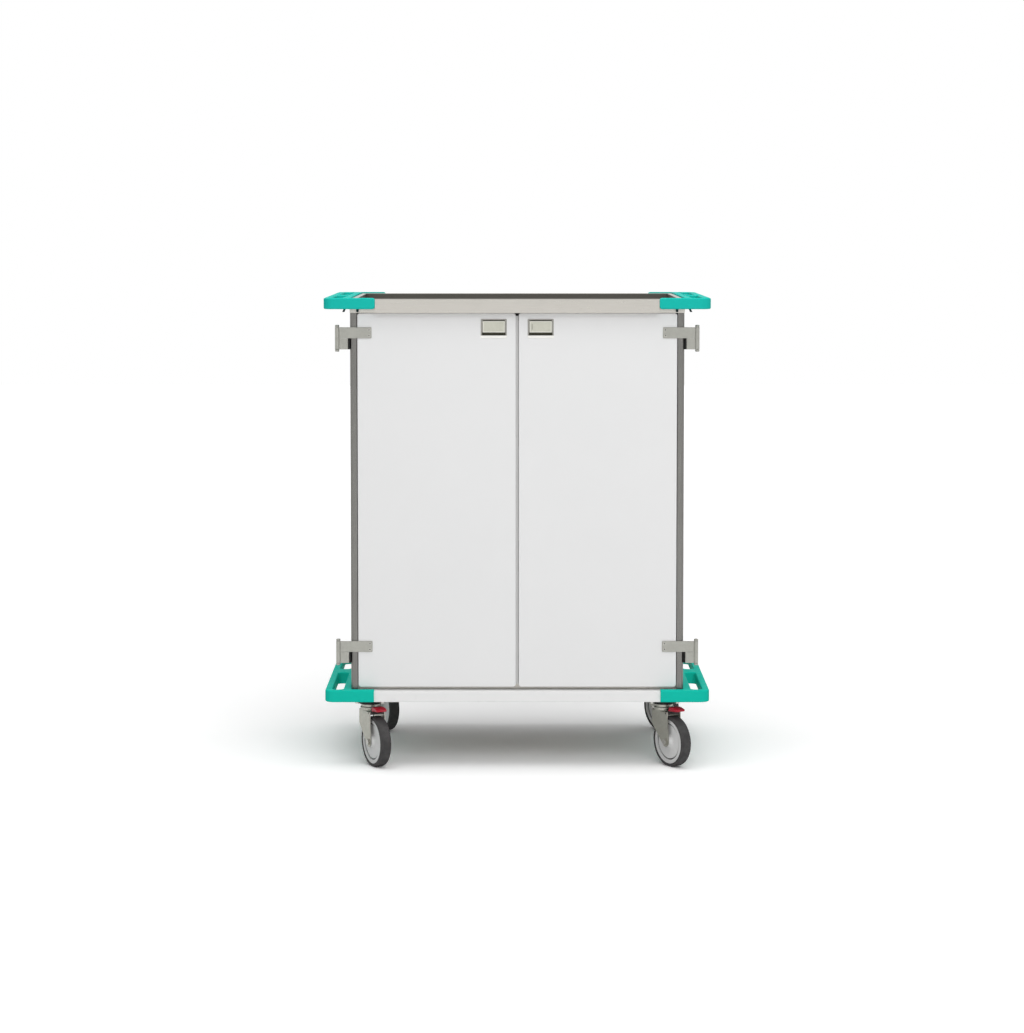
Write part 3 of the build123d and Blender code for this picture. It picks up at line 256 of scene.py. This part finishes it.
def laminate(name, colour, dusk, roughness):
    """Smooth white laminate with a very fine print in its skin and slight unevenness."""
    finish = Finish(name, colour, roughness)
    finish.patches(finish.noise(3.0), 0.3, 0.7, 0.6, dusk)
    finish.vary_roughness(finish.noise(18.0, detail=6.0), roughness - 0.06, roughness + 0.07)
    finish.bump(finish.noise(1500.0, detail=2.0), 0.06, 0.0002)
    finish.bump(finish.noise(5.0), 0.04, 0.002)
    return finish


def brushed_metal(name, colour, dark, stretch, roughness):
    """Brushed steel: long fine lines along one axis, with cloudy changes of tone and polish."""
    finish = Finish(name, colour, roughness, metallic=1.0)
    lines = finish.noise(900.0, stretch, 4.0)
    finish.patches(lines, 0.35, 0.75, 0.6, dark)
    finish.patches(finish.noise(6.0, detail=5.0), 0.45, 0.8, 0.35, dark)
    finish.vary_roughness(lines, roughness - 0.08, roughness + 0.10)
    finish.bump(lines, 0.10, 0.0003)
    return finish


def cast_metal(name, colour, dark, roughness):
    """Satin cast or plated metal: an even fine grain with slight clouding."""
    finish = Finish(name, colour, roughness, metallic=1.0)
    finish.patches(finish.noise(30.0, detail=6.0), 0.4, 0.75, 0.5, dark)
    finish.vary_roughness(finish.noise(120.0, detail=4.0), roughness - 0.07, roughness + 0.10)
    finish.bump(finish.noise(700.0, detail=3.0), 0.10, 0.0003)
    return finish


def coated(name, colour, worn, roughness, specular=0.5, coat=0.0):
    """Painted or moulded surface with a light orange-peel and small worn patches."""
    finish = Finish(name, colour, roughness, specular=specular, coat=coat)
    finish.patches(finish.noise(45.0, detail=7.0), 0.58, 0.74, 0.5, worn)
    finish.vary_roughness(finish.noise(25.0, detail=5.0), roughness - 0.06, roughness + 0.08)
    finish.bump(finish.noise(650.0, detail=2.0), 0.08, 0.0003)
    return finish


def tyre_rubber():
    """Dark grey tread: fine grain, with dust that lies in patches."""
    finish = Finish("tyre_rubber", (0.046, 0.044, 0.045), 0.72, specular=0.35)
    finish.patches(finish.noise(40.0, detail=8.0), 0.45, 0.8, 0.5, (0.100, 0.096, 0.094))
    finish.vary_roughness(finish.noise(70.0), 0.62, 0.85)
    finish.bump(finish.noise(900.0, detail=3.0), 0.25, 0.0005)
    return finish


# Finishes painted by place: painted shade and dark reflection on the tray's well walls, painted shade in
# the handles' cup, painted highlights on their lower lip and bevel, a darker upright band on the right
# pull, and the pedals' pad.
# The well lies a side's width in from the tray's box at the left and right, and an end's width in at
# the front and back
WELL_SIDE = 0.015
WELL_END = 0.026
WELL_DEPTH = 0.021
WELL_RADIUS = 0.005
WELL_SKIN = 0.0008
WELL_LIP = 0.0014
WELL_FLOOR_SKIN = 0.0020
CUP_SHADE = 0.0022
LIP_LOW = -0.0010
LIP_HIGH = 0.0086
TRUNNION_REACH = 0.0026
BEVEL = 0.0032
UPRIGHT_BAND_INSET = 0.00865
UPRIGHT_BAND_WIDTH = 0.0040
UPRIGHT_BAND_HALF_HEIGHT = 0.0090
UPRIGHT_BAND_SOFT = 0.0010
PAD_DEPTH = 0.0128


def tray_steel():
    """Brushed steel of the tray, with painted shade on the well's walls that stands for the dark reflection
    of the well they mirror.
    """
    finish = brushed_metal("tray_steel", STAINLESS, STAINLESS_DARK, ALONG_X, 0.34)
    low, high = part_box("top_tray")
    well = finish.combined(
        finish.between(0, low.x + WELL_SIDE - WELL_SKIN, high.x - WELL_SIDE + WELL_SKIN),
        finish.between(1, low.y + WELL_END - WELL_SKIN, high.y - WELL_END + WELL_SKIN),
        finish.between(2, high.z - WELL_DEPTH + WELL_FLOOR_SKIN, high.z - WELL_LIP),
    )
    # painted shade and dark reflection: the well's walls are tinted near black
    finish.tint(well, (0.130, 0.125, 0.112))
    return finish


def bezel_steel():
    """Satin die casting of the flush handles, with a painted highlight on the lower lip and painted shade
    in the cup behind the front plate.
    """
    finish = cast_metal("bezel_steel", (0.292, 0.285, 0.262), (0.250, 0.244, 0.222), 0.38)
    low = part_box("handle_bezel_left")[0]
    # painted highlight: the band of the lower lip is tinted light
    finish.tint(finish.between(2, low.z + LIP_LOW, low.z + LIP_HIGH), (0.740, 0.732, 0.700))
    # painted shade: everything deeper than the front plate is tinted near black
    finish.tint(finish.beyond(1, low.y + CUP_SHADE), (0.060, 0.060, 0.045))
    return finish


def paddle_steel(side):
    """Satin metal of a pull plate, with a painted highlight round its bevel. The right one has a darker
    upright band painted on it.
    """
    finish = cast_metal(f"paddle_steel_{side}", (0.500, 0.498, 0.430), (0.455, 0.453, 0.390), 0.45)
    low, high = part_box(f"handle_paddle_{side}")
    face = finish.combined(
        finish.between(0, low.x + TRUNNION_REACH + BEVEL, high.x - TRUNNION_REACH - BEVEL),
        finish.between(2, low.z + BEVEL, high.z - BEVEL),
    )
    # painted highlight: the bevel round the plate's face is tinted lighter
    finish.tint(finish.opposite(face), (0.610, 0.606, 0.545))
    # a darker upright band painted on the right plate, with no slot cut in it
    if side == "right":
        left = low.x + UPRIGHT_BAND_INSET
        middle = (low.z + high.z) / 2
        slot = finish.combined(
            finish.between(0, left, left + UPRIGHT_BAND_WIDTH, UPRIGHT_BAND_SOFT),
            finish.between(2, middle - UPRIGHT_BAND_HALF_HEIGHT, middle + UPRIGHT_BAND_HALF_HEIGHT, UPRIGHT_BAND_SOFT),
        )
        finish.tint(slot, (0.340, 0.335, 0.290))
    return finish


def pedal_plastic():
    """Glossy red pedal pad with light scuffs. The barrel below it is dark."""
    finish = coated("pedal_red", (0.390, 0.008, 0.026), (0.520, 0.040, 0.060), 0.32, specular=0.3, coat=0.1)
    pad_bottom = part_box("brake_pedal_front_left")[1].z - PAD_DEPTH
    finish.tint(finish.opposite(finish.beyond(2, pad_bottom)), (0.060, 0.050, 0.050))
    return finish


# Painting. The height of a top bumper leaves out the lugs below it
TOP_BUMPER_HEIGHT = 0.0351


def paint(finish, *names):
    """Give CAD nodes a finish."""
    for name in names:
        node = NODES[name]
        if not node.material_slots:
            node.data.materials.append(finish.material)
        for slot in node.material_slots:
            slot.material = finish.material


def named(*starts):
    """The CAD nodes whose names start with any of these words."""
    return [name for name in NODES if name.startswith(starts)]


def paint_bumpers_and_panels():
    """Teal corner bumpers, white doors and panels, and the pale base rails."""
    fronts = named("bumper_top_front")
    paint(teal_plastic("teal_with_lugs", TEAL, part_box(fronts[0])[1].z - TOP_BUMPER_HEIGHT), *fronts)
    paint(teal_plastic("teal_top", TEAL), *named("bumper_top_back"))
    paint(teal_plastic("teal_base", BASE_TEAL), *named("bumper_bottom"))
    paint(laminate("door_laminate", (0.800, 0.800, 0.800), (0.780, 0.782, 0.782), 0.36),
          *named("door_panel"))
    paint(laminate("panel_laminate", (0.780, 0.780, 0.775), (0.755, 0.757, 0.755), 0.40),
          *named("side_panel", "back_panel"))
    paint(laminate("liner_laminate", (0.640, 0.640, 0.635), (0.600, 0.602, 0.600), 0.45),
          *named("door_liner"))
    paint(coated("rail_coating", (0.820, 0.820, 0.815), (0.770, 0.768, 0.760), 0.42), "base_rails")


def paint_metals(tray):
    """Steel tray, shelves, posts, hinges, handles, screws and caster forks."""
    paint(tray, "top_tray")
    paint(brushed_metal("sheet_steel", STAINLESS, STAINLESS_DARK, ALONG_X, 0.36),
          *named("floor_panel", "shelf_lower", "shelf_upper"))
    # painted dark reflection: the posts' stainless is far darker than the tray's, for the grey they mirror
    paint(brushed_metal("post_steel_dark_reflection", (0.185, 0.182, 0.172), (0.145, 0.142, 0.135), ALONG_Z, 0.32),
          "corner_posts")
    paint(brushed_metal("standard_steel", (0.420, 0.415, 0.395), (0.360, 0.355, 0.338), ALONG_Z, 0.36),
          "shelf_standards")
    paint(cast_metal("hinge_steel", (0.352, 0.351, 0.320), (0.305, 0.304, 0.278), 0.40),
          *named("hinge_straps", "hinge_brackets", "hinge_pins"))
    paint(bezel_steel(), *named("handle_bezel"))
    for side in SIDES:
        paint(paddle_steel(side), f"handle_paddle_{side}")
    paint(cast_metal("plated_screws", (0.50, 0.49, 0.46), (0.40, 0.39, 0.37), 0.30),
          *named("bumper_screws", "bracket_screws", "strap_screws", "caster_bolts", "wheel_axle",
                 "shelf_clips"))
    paint(cast_metal("zinc_fork", (0.405, 0.400, 0.355), (0.330, 0.325, 0.290), 0.42),
          *named("caster_fork"))


def paint_small_pieces():
    """Dark painted and moulded pieces, the door header painted dark as the shade behind the doors, the door
    seal, the wheels and the pedals.
    """
    # the cross tubes' own dark paint; on the door header the same dark is painted shade, seen through the
    # doors' seam
    paint(coated("chassis_paint_and_header_shade", (0.045, 0.045, 0.047), (0.090, 0.088, 0.086), 0.50),
          "cross_tubes", "door_header")
    paint(coated("black_moulding", (0.010, 0.010, 0.010), (0.025, 0.025, 0.024), 0.50, specular=0.2),
          *named("hinge_spacers", "caster_mounts", "door_catches"))
    paint(coated("seal_rubber", (0.500, 0.500, 0.494), (0.430, 0.430, 0.426), 0.62, specular=0.3),
          "door_seal")
    paint(coated("core_plastic", (0.660, 0.660, 0.655), (0.590, 0.590, 0.580), 0.44),
          *named("wheel_core"))
    paint(tyre_rubber(), *named("wheel_tyre"))
    paint(pedal_plastic(), *named("brake_pedal"))


# Studio. A lamp has its place, the place that it points at, its width and height, and its power
LAMPS = {
    "overhead_bank": ((0.0, -0.6, 4.2), (0, 0.1, 0.6), (4.0, 3.2), 60.0),
    "front_bank": ((1.3, -5.6, 4.2), (0, 0, 0.7), (4.0, 2.6), 110.0),
    "camera_fill": ((0.4, -9.6, 1.7), (0, 0, 0.8), (3.0, 2.0), 60.0),
}
WORLD_LOW = 0.20
WORLD_HIGH = 0.85
WORLD_SEEN = 1.0
FLOOR_SIZE = 40.0
FLOOR_COLOUR = 0.80
FLOOR_SEEN = 1.12
FLOOR_SEEN_FAR = 2.0
FLOOR_NEAR = 0.9
FLOOR_FAR = 9.0


def area_light(name, location, aim, size, power):
    """A soft rectangular lamp that points at a place on the cart, and that mirrors don't show."""
    data = bpy.data.lights.new(name, "AREA")
    data.shape = "RECTANGLE"
    data.size, data.size_y = size
    data.energy = power
    lamp = bpy.data.objects.new(name, data)
    lamp.location = location
    direction = Vector(aim) - Vector(location)
    lamp.rotation_euler = direction.to_track_quat("-Z", "Y").to_euler()
    lamp.visible_glossy = False
    scene.collection.objects.link(lamp)


def light_studio():
    """A white room: a world that gives more light from above than from below, and three soft lamps.

    Seen by the camera, in a mirror or through glass, the world is plain white.
    """
    world = bpy.data.worlds.new("white_room")
    world.use_nodes = True
    tree = world.node_tree
    background = tree.nodes["Background"]
    background.inputs["Color"].default_value = (1, 1, 1, 1)
    direction = tree.nodes.new("ShaderNodeSeparateXYZ")
    tree.links.new(tree.nodes.new("ShaderNodeTexCoord").outputs["Generated"], direction.inputs[0])
    dome = stretched(tree, direction.outputs[2], 0.0, 1.0, WORLD_LOW, WORLD_HIGH)
    seen = rays_of(tree, *SIGHT_RAYS, "Is Transmission Ray")
    tree.links.new(mixed(tree, seen, dome, WORLD_SEEN), background.inputs["Strength"])
    scene.world = world
    for name, settings in LAMPS.items():
        area_light(name, *settings)


def floor_surface():
    """Pale studio floor. The camera and mirrors see it brighter with its distance from the cart."""
    material = bpy.data.materials.new("studio_floor")
    material.use_nodes = True
    tree = material.node_tree
    tree.nodes.remove(tree.nodes["Principled BSDF"])
    matte = tree.nodes.new("ShaderNodeBsdfDiffuse")
    away = tree.nodes.new("ShaderNodeVectorMath")
    away.operation = "LENGTH"
    tree.links.new(tree.nodes.new("ShaderNodeTexCoord").outputs["Object"], away.inputs[0])
    bright = stretched(tree, away.outputs["Value"], FLOOR_NEAR, FLOOR_FAR, FLOOR_SEEN, FLOOR_SEEN_FAR)
    tone = mixed(tree, rays_of(tree, *SIGHT_RAYS), FLOOR_COLOUR, bright)
    tree.links.new(tone, matte.inputs["Color"])
    tree.links.new(matte.outputs[0], tree.nodes["Material Output"].inputs["Surface"])
    return material


def lay_floor():
    """A wide flat floor below the wheels, seen out to the white distance."""
    half = FLOOR_SIZE / 2
    corners = [(-half, -half, 0), (half, -half, 0), (half, half, 0), (-half, half, 0)]
    mesh = bpy.data.meshes.new("studio_floor")
    mesh.from_pydata(corners, [], [(0, 1, 2, 3)])
    floor = bpy.data.objects.new("studio_floor", mesh)
    mesh.materials.append(floor_surface())
    scene.collection.objects.link(floor)


# Surfaces worked out on a grid
SHARP_ANGLE = math.radians(35)
NEARLY_UPRIGHT = 0.9
SHARPEST_BEND = 0.3
ARC_POINTS = 7


def place_mesh(name, points, faces, finish, body):
    """Put a finished array of points and faces into the scene as one piece that rides on a body."""
    mesh = bpy.data.meshes.new(name)
    mesh.from_pydata(points.reshape(-1, 3).tolist(), [], faces)
    mesh.materials.append(finish.material)
    mesh.shade_smooth()
    mesh.set_sharp_from_angle(angle=SHARP_ANGLE)
    piece = bpy.data.objects.new(name, mesh)
    scene.collection.objects.link(piece)
    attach(piece, body)


def grid_quads(rows, columns, copies, wrap_rows):
    """Four-cornered faces between neighbouring grid points, for several grids stored one after another.

    The columns always close on themselves. The rows do where they are told to.
    """
    row = np.arange(rows if wrap_rows else rows - 1)[None, :, None]
    column = np.arange(columns)[None, None, :]
    start = (np.arange(copies) * rows * columns)[:, None, None]
    next_row = (row + 1) % rows
    next_column = (column + 1) % columns
    corners = (row * columns + column, row * columns + next_column,
               next_row * columns + next_column, next_row * columns + column)
    quads = np.stack(np.broadcast_arrays(*[start + corner for corner in corners]), -1)
    return quads.reshape(-1, 4).tolist()


def end_faces(rows, columns, copies):
    """One many-sided face over each end of every grid, turned outwards."""
    start = (np.arange(copies) * rows * columns)[:, None]
    ring = np.arange(columns)[None, :]
    first = (start + ring)[:, ::-1]
    last = start + (rows - 1) * columns + ring
    return np.concatenate((first, last)).tolist()


def turned(name, profile, centres, axes, sides, finish, body, closed=False):
    """Copies of a turned shape.

    A point is the copy's centre, plus the profile's height along the copy's axis, plus the profile's
    radius times (cosine of the angle along one cross direction and sine along the other). The angle
    goes once round in equal steps. A closed profile makes a ring, and an open one gets an end face
    at each end.
    """
    profile = np.asarray(profile, float)
    centres = np.atleast_2d(centres).astype(float)
    axes = np.broadcast_to(np.atleast_2d(axes).astype(float), centres.shape)
    helper = np.where(np.abs(axes[:, 2:3]) > NEARLY_UPRIGHT, [[1.0, 0.0, 0.0]], [[0.0, 0.0, 1.0]])
    across = np.cross(helper, axes)
    across /= np.linalg.norm(across, axis=1, keepdims=True)
    beside = np.cross(axes, across)
    angle = np.linspace(0, 2 * np.pi, sides, endpoint=False)
    radius = profile[None, :, 0, None, None]
    height = profile[None, :, 1, None, None]
    turn = (np.cos(angle)[None, None, :, None] * across[:, None, None, :]
            + np.sin(angle)[None, None, :, None] * beside[:, None, None, :])
    points = centres[:, None, None, :] + height * axes[:, None, None, :] + radius * turn
    rows = len(profile)
    faces = grid_quads(rows, sides, len(centres), closed)
    if not closed:
        faces += end_faces(rows, sides, len(centres))
    place_mesh(name, points, faces, finish, body)


def swept(name, section, paths, up, closed, finish, body):
    """A section carried along flat paths.

    At each path point the section's first number is laid along the cross direction, which is the up
    direction crossed with the path's own direction and lengthened at a bend so that the run keeps
    its width, and its second number is laid along the up direction.
    """
    section = np.asarray(section, float)
    paths = np.asarray(paths, float)
    up = np.asarray(up, float)
    if closed:
        ahead = np.roll(paths, -1, axis=1) - paths
        behind = np.roll(ahead, 1, axis=1)
    else:
        steps = np.diff(paths, axis=1)
        ahead = np.concatenate((steps, steps[:, -1:]), axis=1)
        behind = np.concatenate((steps[:, :1], steps), axis=1)
    ahead = ahead / np.linalg.norm(ahead, axis=2, keepdims=True)
    behind = behind / np.linalg.norm(behind, axis=2, keepdims=True)
    along = ahead + behind
    along /= np.linalg.norm(along, axis=2, keepdims=True)
    stretch = 1.0 / np.clip((along * ahead).sum(2, keepdims=True), SHARPEST_BEND, 1.0)
    cross = np.cross(np.broadcast_to(up, along.shape), along) * stretch
    points = (paths[:, :, None, :] + section[None, None, :, 0, None] * cross[:, :, None, :]
              + section[None, None, :, 1, None] * up)
    copies, rows = paths.shape[:2]
    faces = grid_quads(rows, len(section), copies, closed)
    if not closed:
        faces += end_faces(rows, len(section), copies)
    place_mesh(name, points, faces, finish, body)


def bead(width, height):
    """The section of a low rounded bead: half an ellipse on a flat foot, in order round its edge."""
    angle = np.linspace(0, np.pi, ARC_POINTS)
    return np.stack((np.cos(angle) * width / 2, np.sin(angle) * height), -1)


def rectangle_path(low, high, flat_axis, level):
    """The four corners of a rectangle at a level of one axis, in order round that axis."""
    first, second = [axis for axis in range(3) if axis != flat_axis]
    turns = ((0, 0), (1, 0), (1, 1), (0, 1))
    corners = np.full((4, 3), float(level))
    ends = np.array((low, high), float)
    corners[:, first] = ends[[turn[0] for turn in turns], first]
    corners[:, second] = ends[[turn[1] for turn in turns], second]
    return corners


def corners_of(node):
    """The lowest and the highest corner of a CAD node, as arrays."""
    return [np.array(corner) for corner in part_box(node)]


def middle_of(node):
    """The middle of a CAD node's box, as an array."""
    return sum(corners_of(node)) / 2


# Painted shade of the screws' sockets, and plugs of the spare holes. A profile gives radius and height,
# foot first
STRAP_SOCKET = ((0.0023, 0.0), (0.0021, 0.0002))
WIDE_SOCKET = ((0.0032, 0.0), (0.0030, 0.0003))
HOLE_PLUG = ((0.0048, 0.0), (0.0046, 0.0007), (0.0036, 0.0012), (0.0018, 0.0014))
SOCKET_SIDES = 6
PLUG_SIDES = 20
HINGE_RISE = 0.4985
STRAP_SCREW_SPREAD = 0.018
BRACKET_SCREW_SPREAD = 0.020
BUMPER_SCREW_PLACES = (-0.300, -0.090, 0.090, 0.300)
BUMPER_HEAD_RADIUS = 0.006


def hinge_screw_heights(middle, spread):
    """Four heights: half a spread below and above each hinge.

    The hinges lie a rise below and a rise above the middle.
    """
    return [middle + hinge * HINGE_RISE + step * spread / 2 for hinge in (-1, 1) for step in (-1, 1)]


def screw_drives():
    """Dark hexagons painted on the heads of the screws that show, as the shade in their sockets, and plugs
    in the back posts' spare holes.

    The spare holes lie as far behind the middle of the tray as the bracket screws lie before it.
    """
    moulded = coated("plug_plastic", (0.120, 0.120, 0.118), (0.160, 0.160, 0.156), 0.50, specular=0.3)
    # painted shade: raised dark hexagons stand for the shade inside the screws' sockets
    dark = coated("socket_shadow", (0.030, 0.030, 0.029), (0.060, 0.058, 0.055), 0.55, specular=0.3)
    middle_y = middle_of("top_tray")[1]
    bracket_middle = middle_of("bracket_screws")
    bracket_heights = hinge_screw_heights(bracket_middle[2], BRACKET_SCREW_SPREAD)
    bumper_low, bumper_high = corners_of("bumper_screws")
    bumper_heights = (bumper_low[2] + BUMPER_HEAD_RADIUS, bumper_high[2] - BUMPER_HEAD_RADIUS)
    for side, sign in SIDES.items():
        outwards = (sign, 0, 0)
        strap_middle = middle_of(f"strap_screws_{side}")
        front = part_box(f"strap_screws_{side}")[0].y
        strap_heights = hinge_screw_heights(strap_middle[2], STRAP_SCREW_SPREAD)
        strap = [(strap_middle[0], front, z) for z in strap_heights]
        turned(f"strap_sockets_{side}", STRAP_SOCKET, strap, (0, -1, 0), SOCKET_SIDES, dark,
               f"door_{side}")
        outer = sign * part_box("bracket_screws")[1].x
        bracket = [(outer, bracket_middle[1], z) for z in bracket_heights]
        turned(f"bracket_sockets_{side}", WIDE_SOCKET, bracket, outwards, SOCKET_SIDES, dark,
               "root")
        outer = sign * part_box("corner_posts")[1].x
        spare = [(outer, 2 * middle_y - bracket_middle[1], z) for z in bracket_heights]
        turned(f"post_plugs_{side}", HOLE_PLUG, spare, outwards, PLUG_SIDES, moulded,
               "root")
        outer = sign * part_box("bumper_screws")[1].x
        places = [(outer, middle_y + y, z) for y in BUMPER_SCREW_PLACES for z in bumper_heights]
        turned(f"bumper_sockets_{side}", WIDE_SOCKET, places, outwards, SOCKET_SIDES, dark,
               "root")


# Wheels. The profile of the groove's shade ring gives radius and distance from the wheel's middle plane
GROOVE_SHADE_RING = ((0.0542, 0.0077), (0.0583, 0.0077), (0.0583, 0.0112), (0.0562, 0.0118), (0.0542, 0.0112))
GROOVE_SHADE_SIDES = 72


def groove_rings():
    """A dark ring of painted shade in the groove of each face of each wheel: a shallow ring turned about
    the axle.
    """
    # painted shade: a dark ring laid in each wheel's groove
    dust = coated("groove_shadow", (0.060, 0.060, 0.060), (0.110, 0.108, 0.105), 0.65, specular=0.3)
    for name, joint in JOINTS.items():
        if name.startswith("wheel_"):
            axis = np.array(joint["axis"], float)
            corner = name.removeprefix("wheel_").removesuffix("_roll")
            turned(f"groove_rings_{corner}", GROOVE_SHADE_RING, [joint["pos_m"]] * 2, (axis, -axis), GROOVE_SHADE_SIDES,
                   dust, joint["child"], closed=True)


# Pedals. A rib's reach is its distance from the swivel, and the slope is the taper's drop over its length
RIB_REACHES = np.array((0.0575, 0.0635, 0.0735, 0.0795, 0.0855))
RIB_WIDTH = 0.0024
RIB_HEIGHT = 0.0008
RIB_HALF_LENGTH = 0.0135
PEDAL_TAPER_START = 0.070
PEDAL_SLOPE = 6.0 / 22.0


def pedal_ribs():
    """Five low ribs across the tread of each brake pedal.

    A rib past the start of the taper lies lower by the taper's slope times its distance from there.
    """
    red = coated("pedal_rib_red", (0.300, 0.006, 0.020), (0.380, 0.030, 0.045), 0.36, specular=0.3)
    for side in SIDES:
        swivel = np.array(JOINTS[f"caster_front_{side}_swivel"]["pos_m"], float)
        across = np.array(JOINTS[f"wheel_front_{side}_roll"]["axis"], float)
        ahead = np.cross(across, (0, 0, 1))
        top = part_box(f"brake_pedal_front_{side}")[1].z
        centres = swivel * (1, 1, 0) + np.outer(RIB_REACHES, ahead)
        centres[:, 2] = top - PEDAL_SLOPE * np.maximum(RIB_REACHES - PEDAL_TAPER_START, 0)
        ends = np.array((-RIB_HALF_LENGTH, RIB_HALF_LENGTH))[None, :, None] * across
        swept(f"pedal_ribs_{side}", bead(RIB_WIDTH, RIB_HEIGHT), centres[:, None, :] + ends, (0, 0, 1),
              False, red, f"pedal_front_{side}")


# Side and back panels: the axis that each faces along, which way, its bead's height and its rivet columns
PANELS = {
    "side_panel_left": (0, -1, 0.0007, 2),
    "side_panel_right": (0, 1, 0.0007, 2),
    "back_panel": (1, 1, 0.0014, 3),
}
EDGE_BEAD_INSET = 0.0018
EDGE_BEAD_WIDTH = 0.0034
RIVET_INSET = 0.020
RIVET_ROWS = 9
RIVET_DOME = ((0.0046, 0.0), (0.0043, 0.0006), (0.0034, 0.0011), (0.0018, 0.0014))
RIVET_SIDES = 16


def panel_edges():
    """Rubber beads along the edges of the side and back panels, and rivets inside them."""
    rubber = coated("edge_rubber", (0.150, 0.150, 0.148), (0.200, 0.200, 0.196), 0.60, specular=0.3)
    rivet = cast_metal("rivet_steel", (0.46, 0.45, 0.43), (0.36, 0.355, 0.34), 0.34)
    for panel, (axis, sign, height, columns) in PANELS.items():
        low, high = corners_of(panel)
        level = (high if sign > 0 else low)[axis]
        up = np.zeros(3)
        up[axis] = sign
        path = rectangle_path(low + EDGE_BEAD_INSET, high - EDGE_BEAD_INSET, axis, level)
        swept(f"{panel}_bead", bead(EDGE_BEAD_WIDTH, height), [path], up, True, rubber, "root")
        run = 1 - axis
        inner_low, inner_high = low + RIVET_INSET, high - RIVET_INSET
        places = np.full((columns, RIVET_ROWS, 3), level)
        places[:, :, run] = np.linspace(inner_low[run], inner_high[run], columns)[:, None]
        places[:, :, 2] = np.linspace(inner_low[2], inner_high[2], RIVET_ROWS)[None, :]
        turned(f"{panel}_rivets", RIVET_DOME, places.reshape(-1, 3), up, RIVET_SIDES, rivet,
               "root")


# Backs of the doors. The striker's section is the half of a bevelled plate, and then its mirror image
DOOR_BEAD_INSET = 0.0066
DOOR_BEAD_WIDTH = 0.0048
DOOR_BEAD_HEIGHT = 0.0017
STRIKER_HALF = ((0.0064, 0.0), (0.0064, 0.0001), (0.0061, 0.0003))
STRIKER_SECTION = (*STRIKER_HALF, *((-x, z) for x, z in reversed(STRIKER_HALF)))
STRIKER_REACH = 0.018
CATCH_HALF_WIDTH = 0.020


def door_backs():
    """A seal bead round the back of each door, and a steel plate that its catch holds."""
    rubber = coated("door_bead_rubber", (0.200, 0.200, 0.198), (0.260, 0.260, 0.255), 0.60, specular=0.3)
    steel = cast_metal("striker_steel", (0.42, 0.415, 0.40), (0.34, 0.335, 0.32), 0.36)
    catch_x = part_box("door_catches")[1].x - CATCH_HALF_WIDTH
    catch_z = middle_of("door_catches")[2]
    for side, sign in SIDES.items():
        low, high = corners_of(f"door_panel_{side}")
        path = rectangle_path(low + DOOR_BEAD_INSET, high - DOOR_BEAD_INSET, 1, high[1])
        swept(f"door_bead_{side}", bead(DOOR_BEAD_WIDTH, DOOR_BEAD_HEIGHT), [path], (0, 1, 0), True,
              rubber, f"door_{side}")
        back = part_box(f"door_liner_{side}")[1].y
        ends = [(sign * catch_x + reach, back, catch_z) for reach in (-STRIKER_REACH, STRIKER_REACH)]
        swept(f"striker_plate_{side}", STRIKER_SECTION, [ends], (0, 1, 0), False,
              steel, f"door_{side}")


def well_cove(finish):
    """The pressed radius between the tray's floor and its walls: a quarter circle, hollow side inwards."""
    low, high = corners_of("top_tray")
    inset = np.array((WELL_SIDE, WELL_END, 0))
    path = rectangle_path(low + inset, high - inset, 2, high[2] - WELL_DEPTH)
    angle = np.linspace(0, np.pi / 2, ARC_POINTS)
    arc = WELL_RADIUS * np.stack((1 - np.sin(angle), 1 - np.cos(angle)), -1)
    section = np.concatenate((arc, [(0, 0)]))
    swept("tray_well_cove", section, [path], (0, 0, 1), True, finish, "root")


set_camera()
light_studio()
lay_floor()
tray = tray_steel()
paint_bumpers_and_panels()
paint_metals(tray)
paint_small_pieces()
well_cove(tray)
screw_drives()
groove_rings()
pedal_ribs()
panel_edges()
door_backs()

scene.view_settings.view_transform = "Standard"
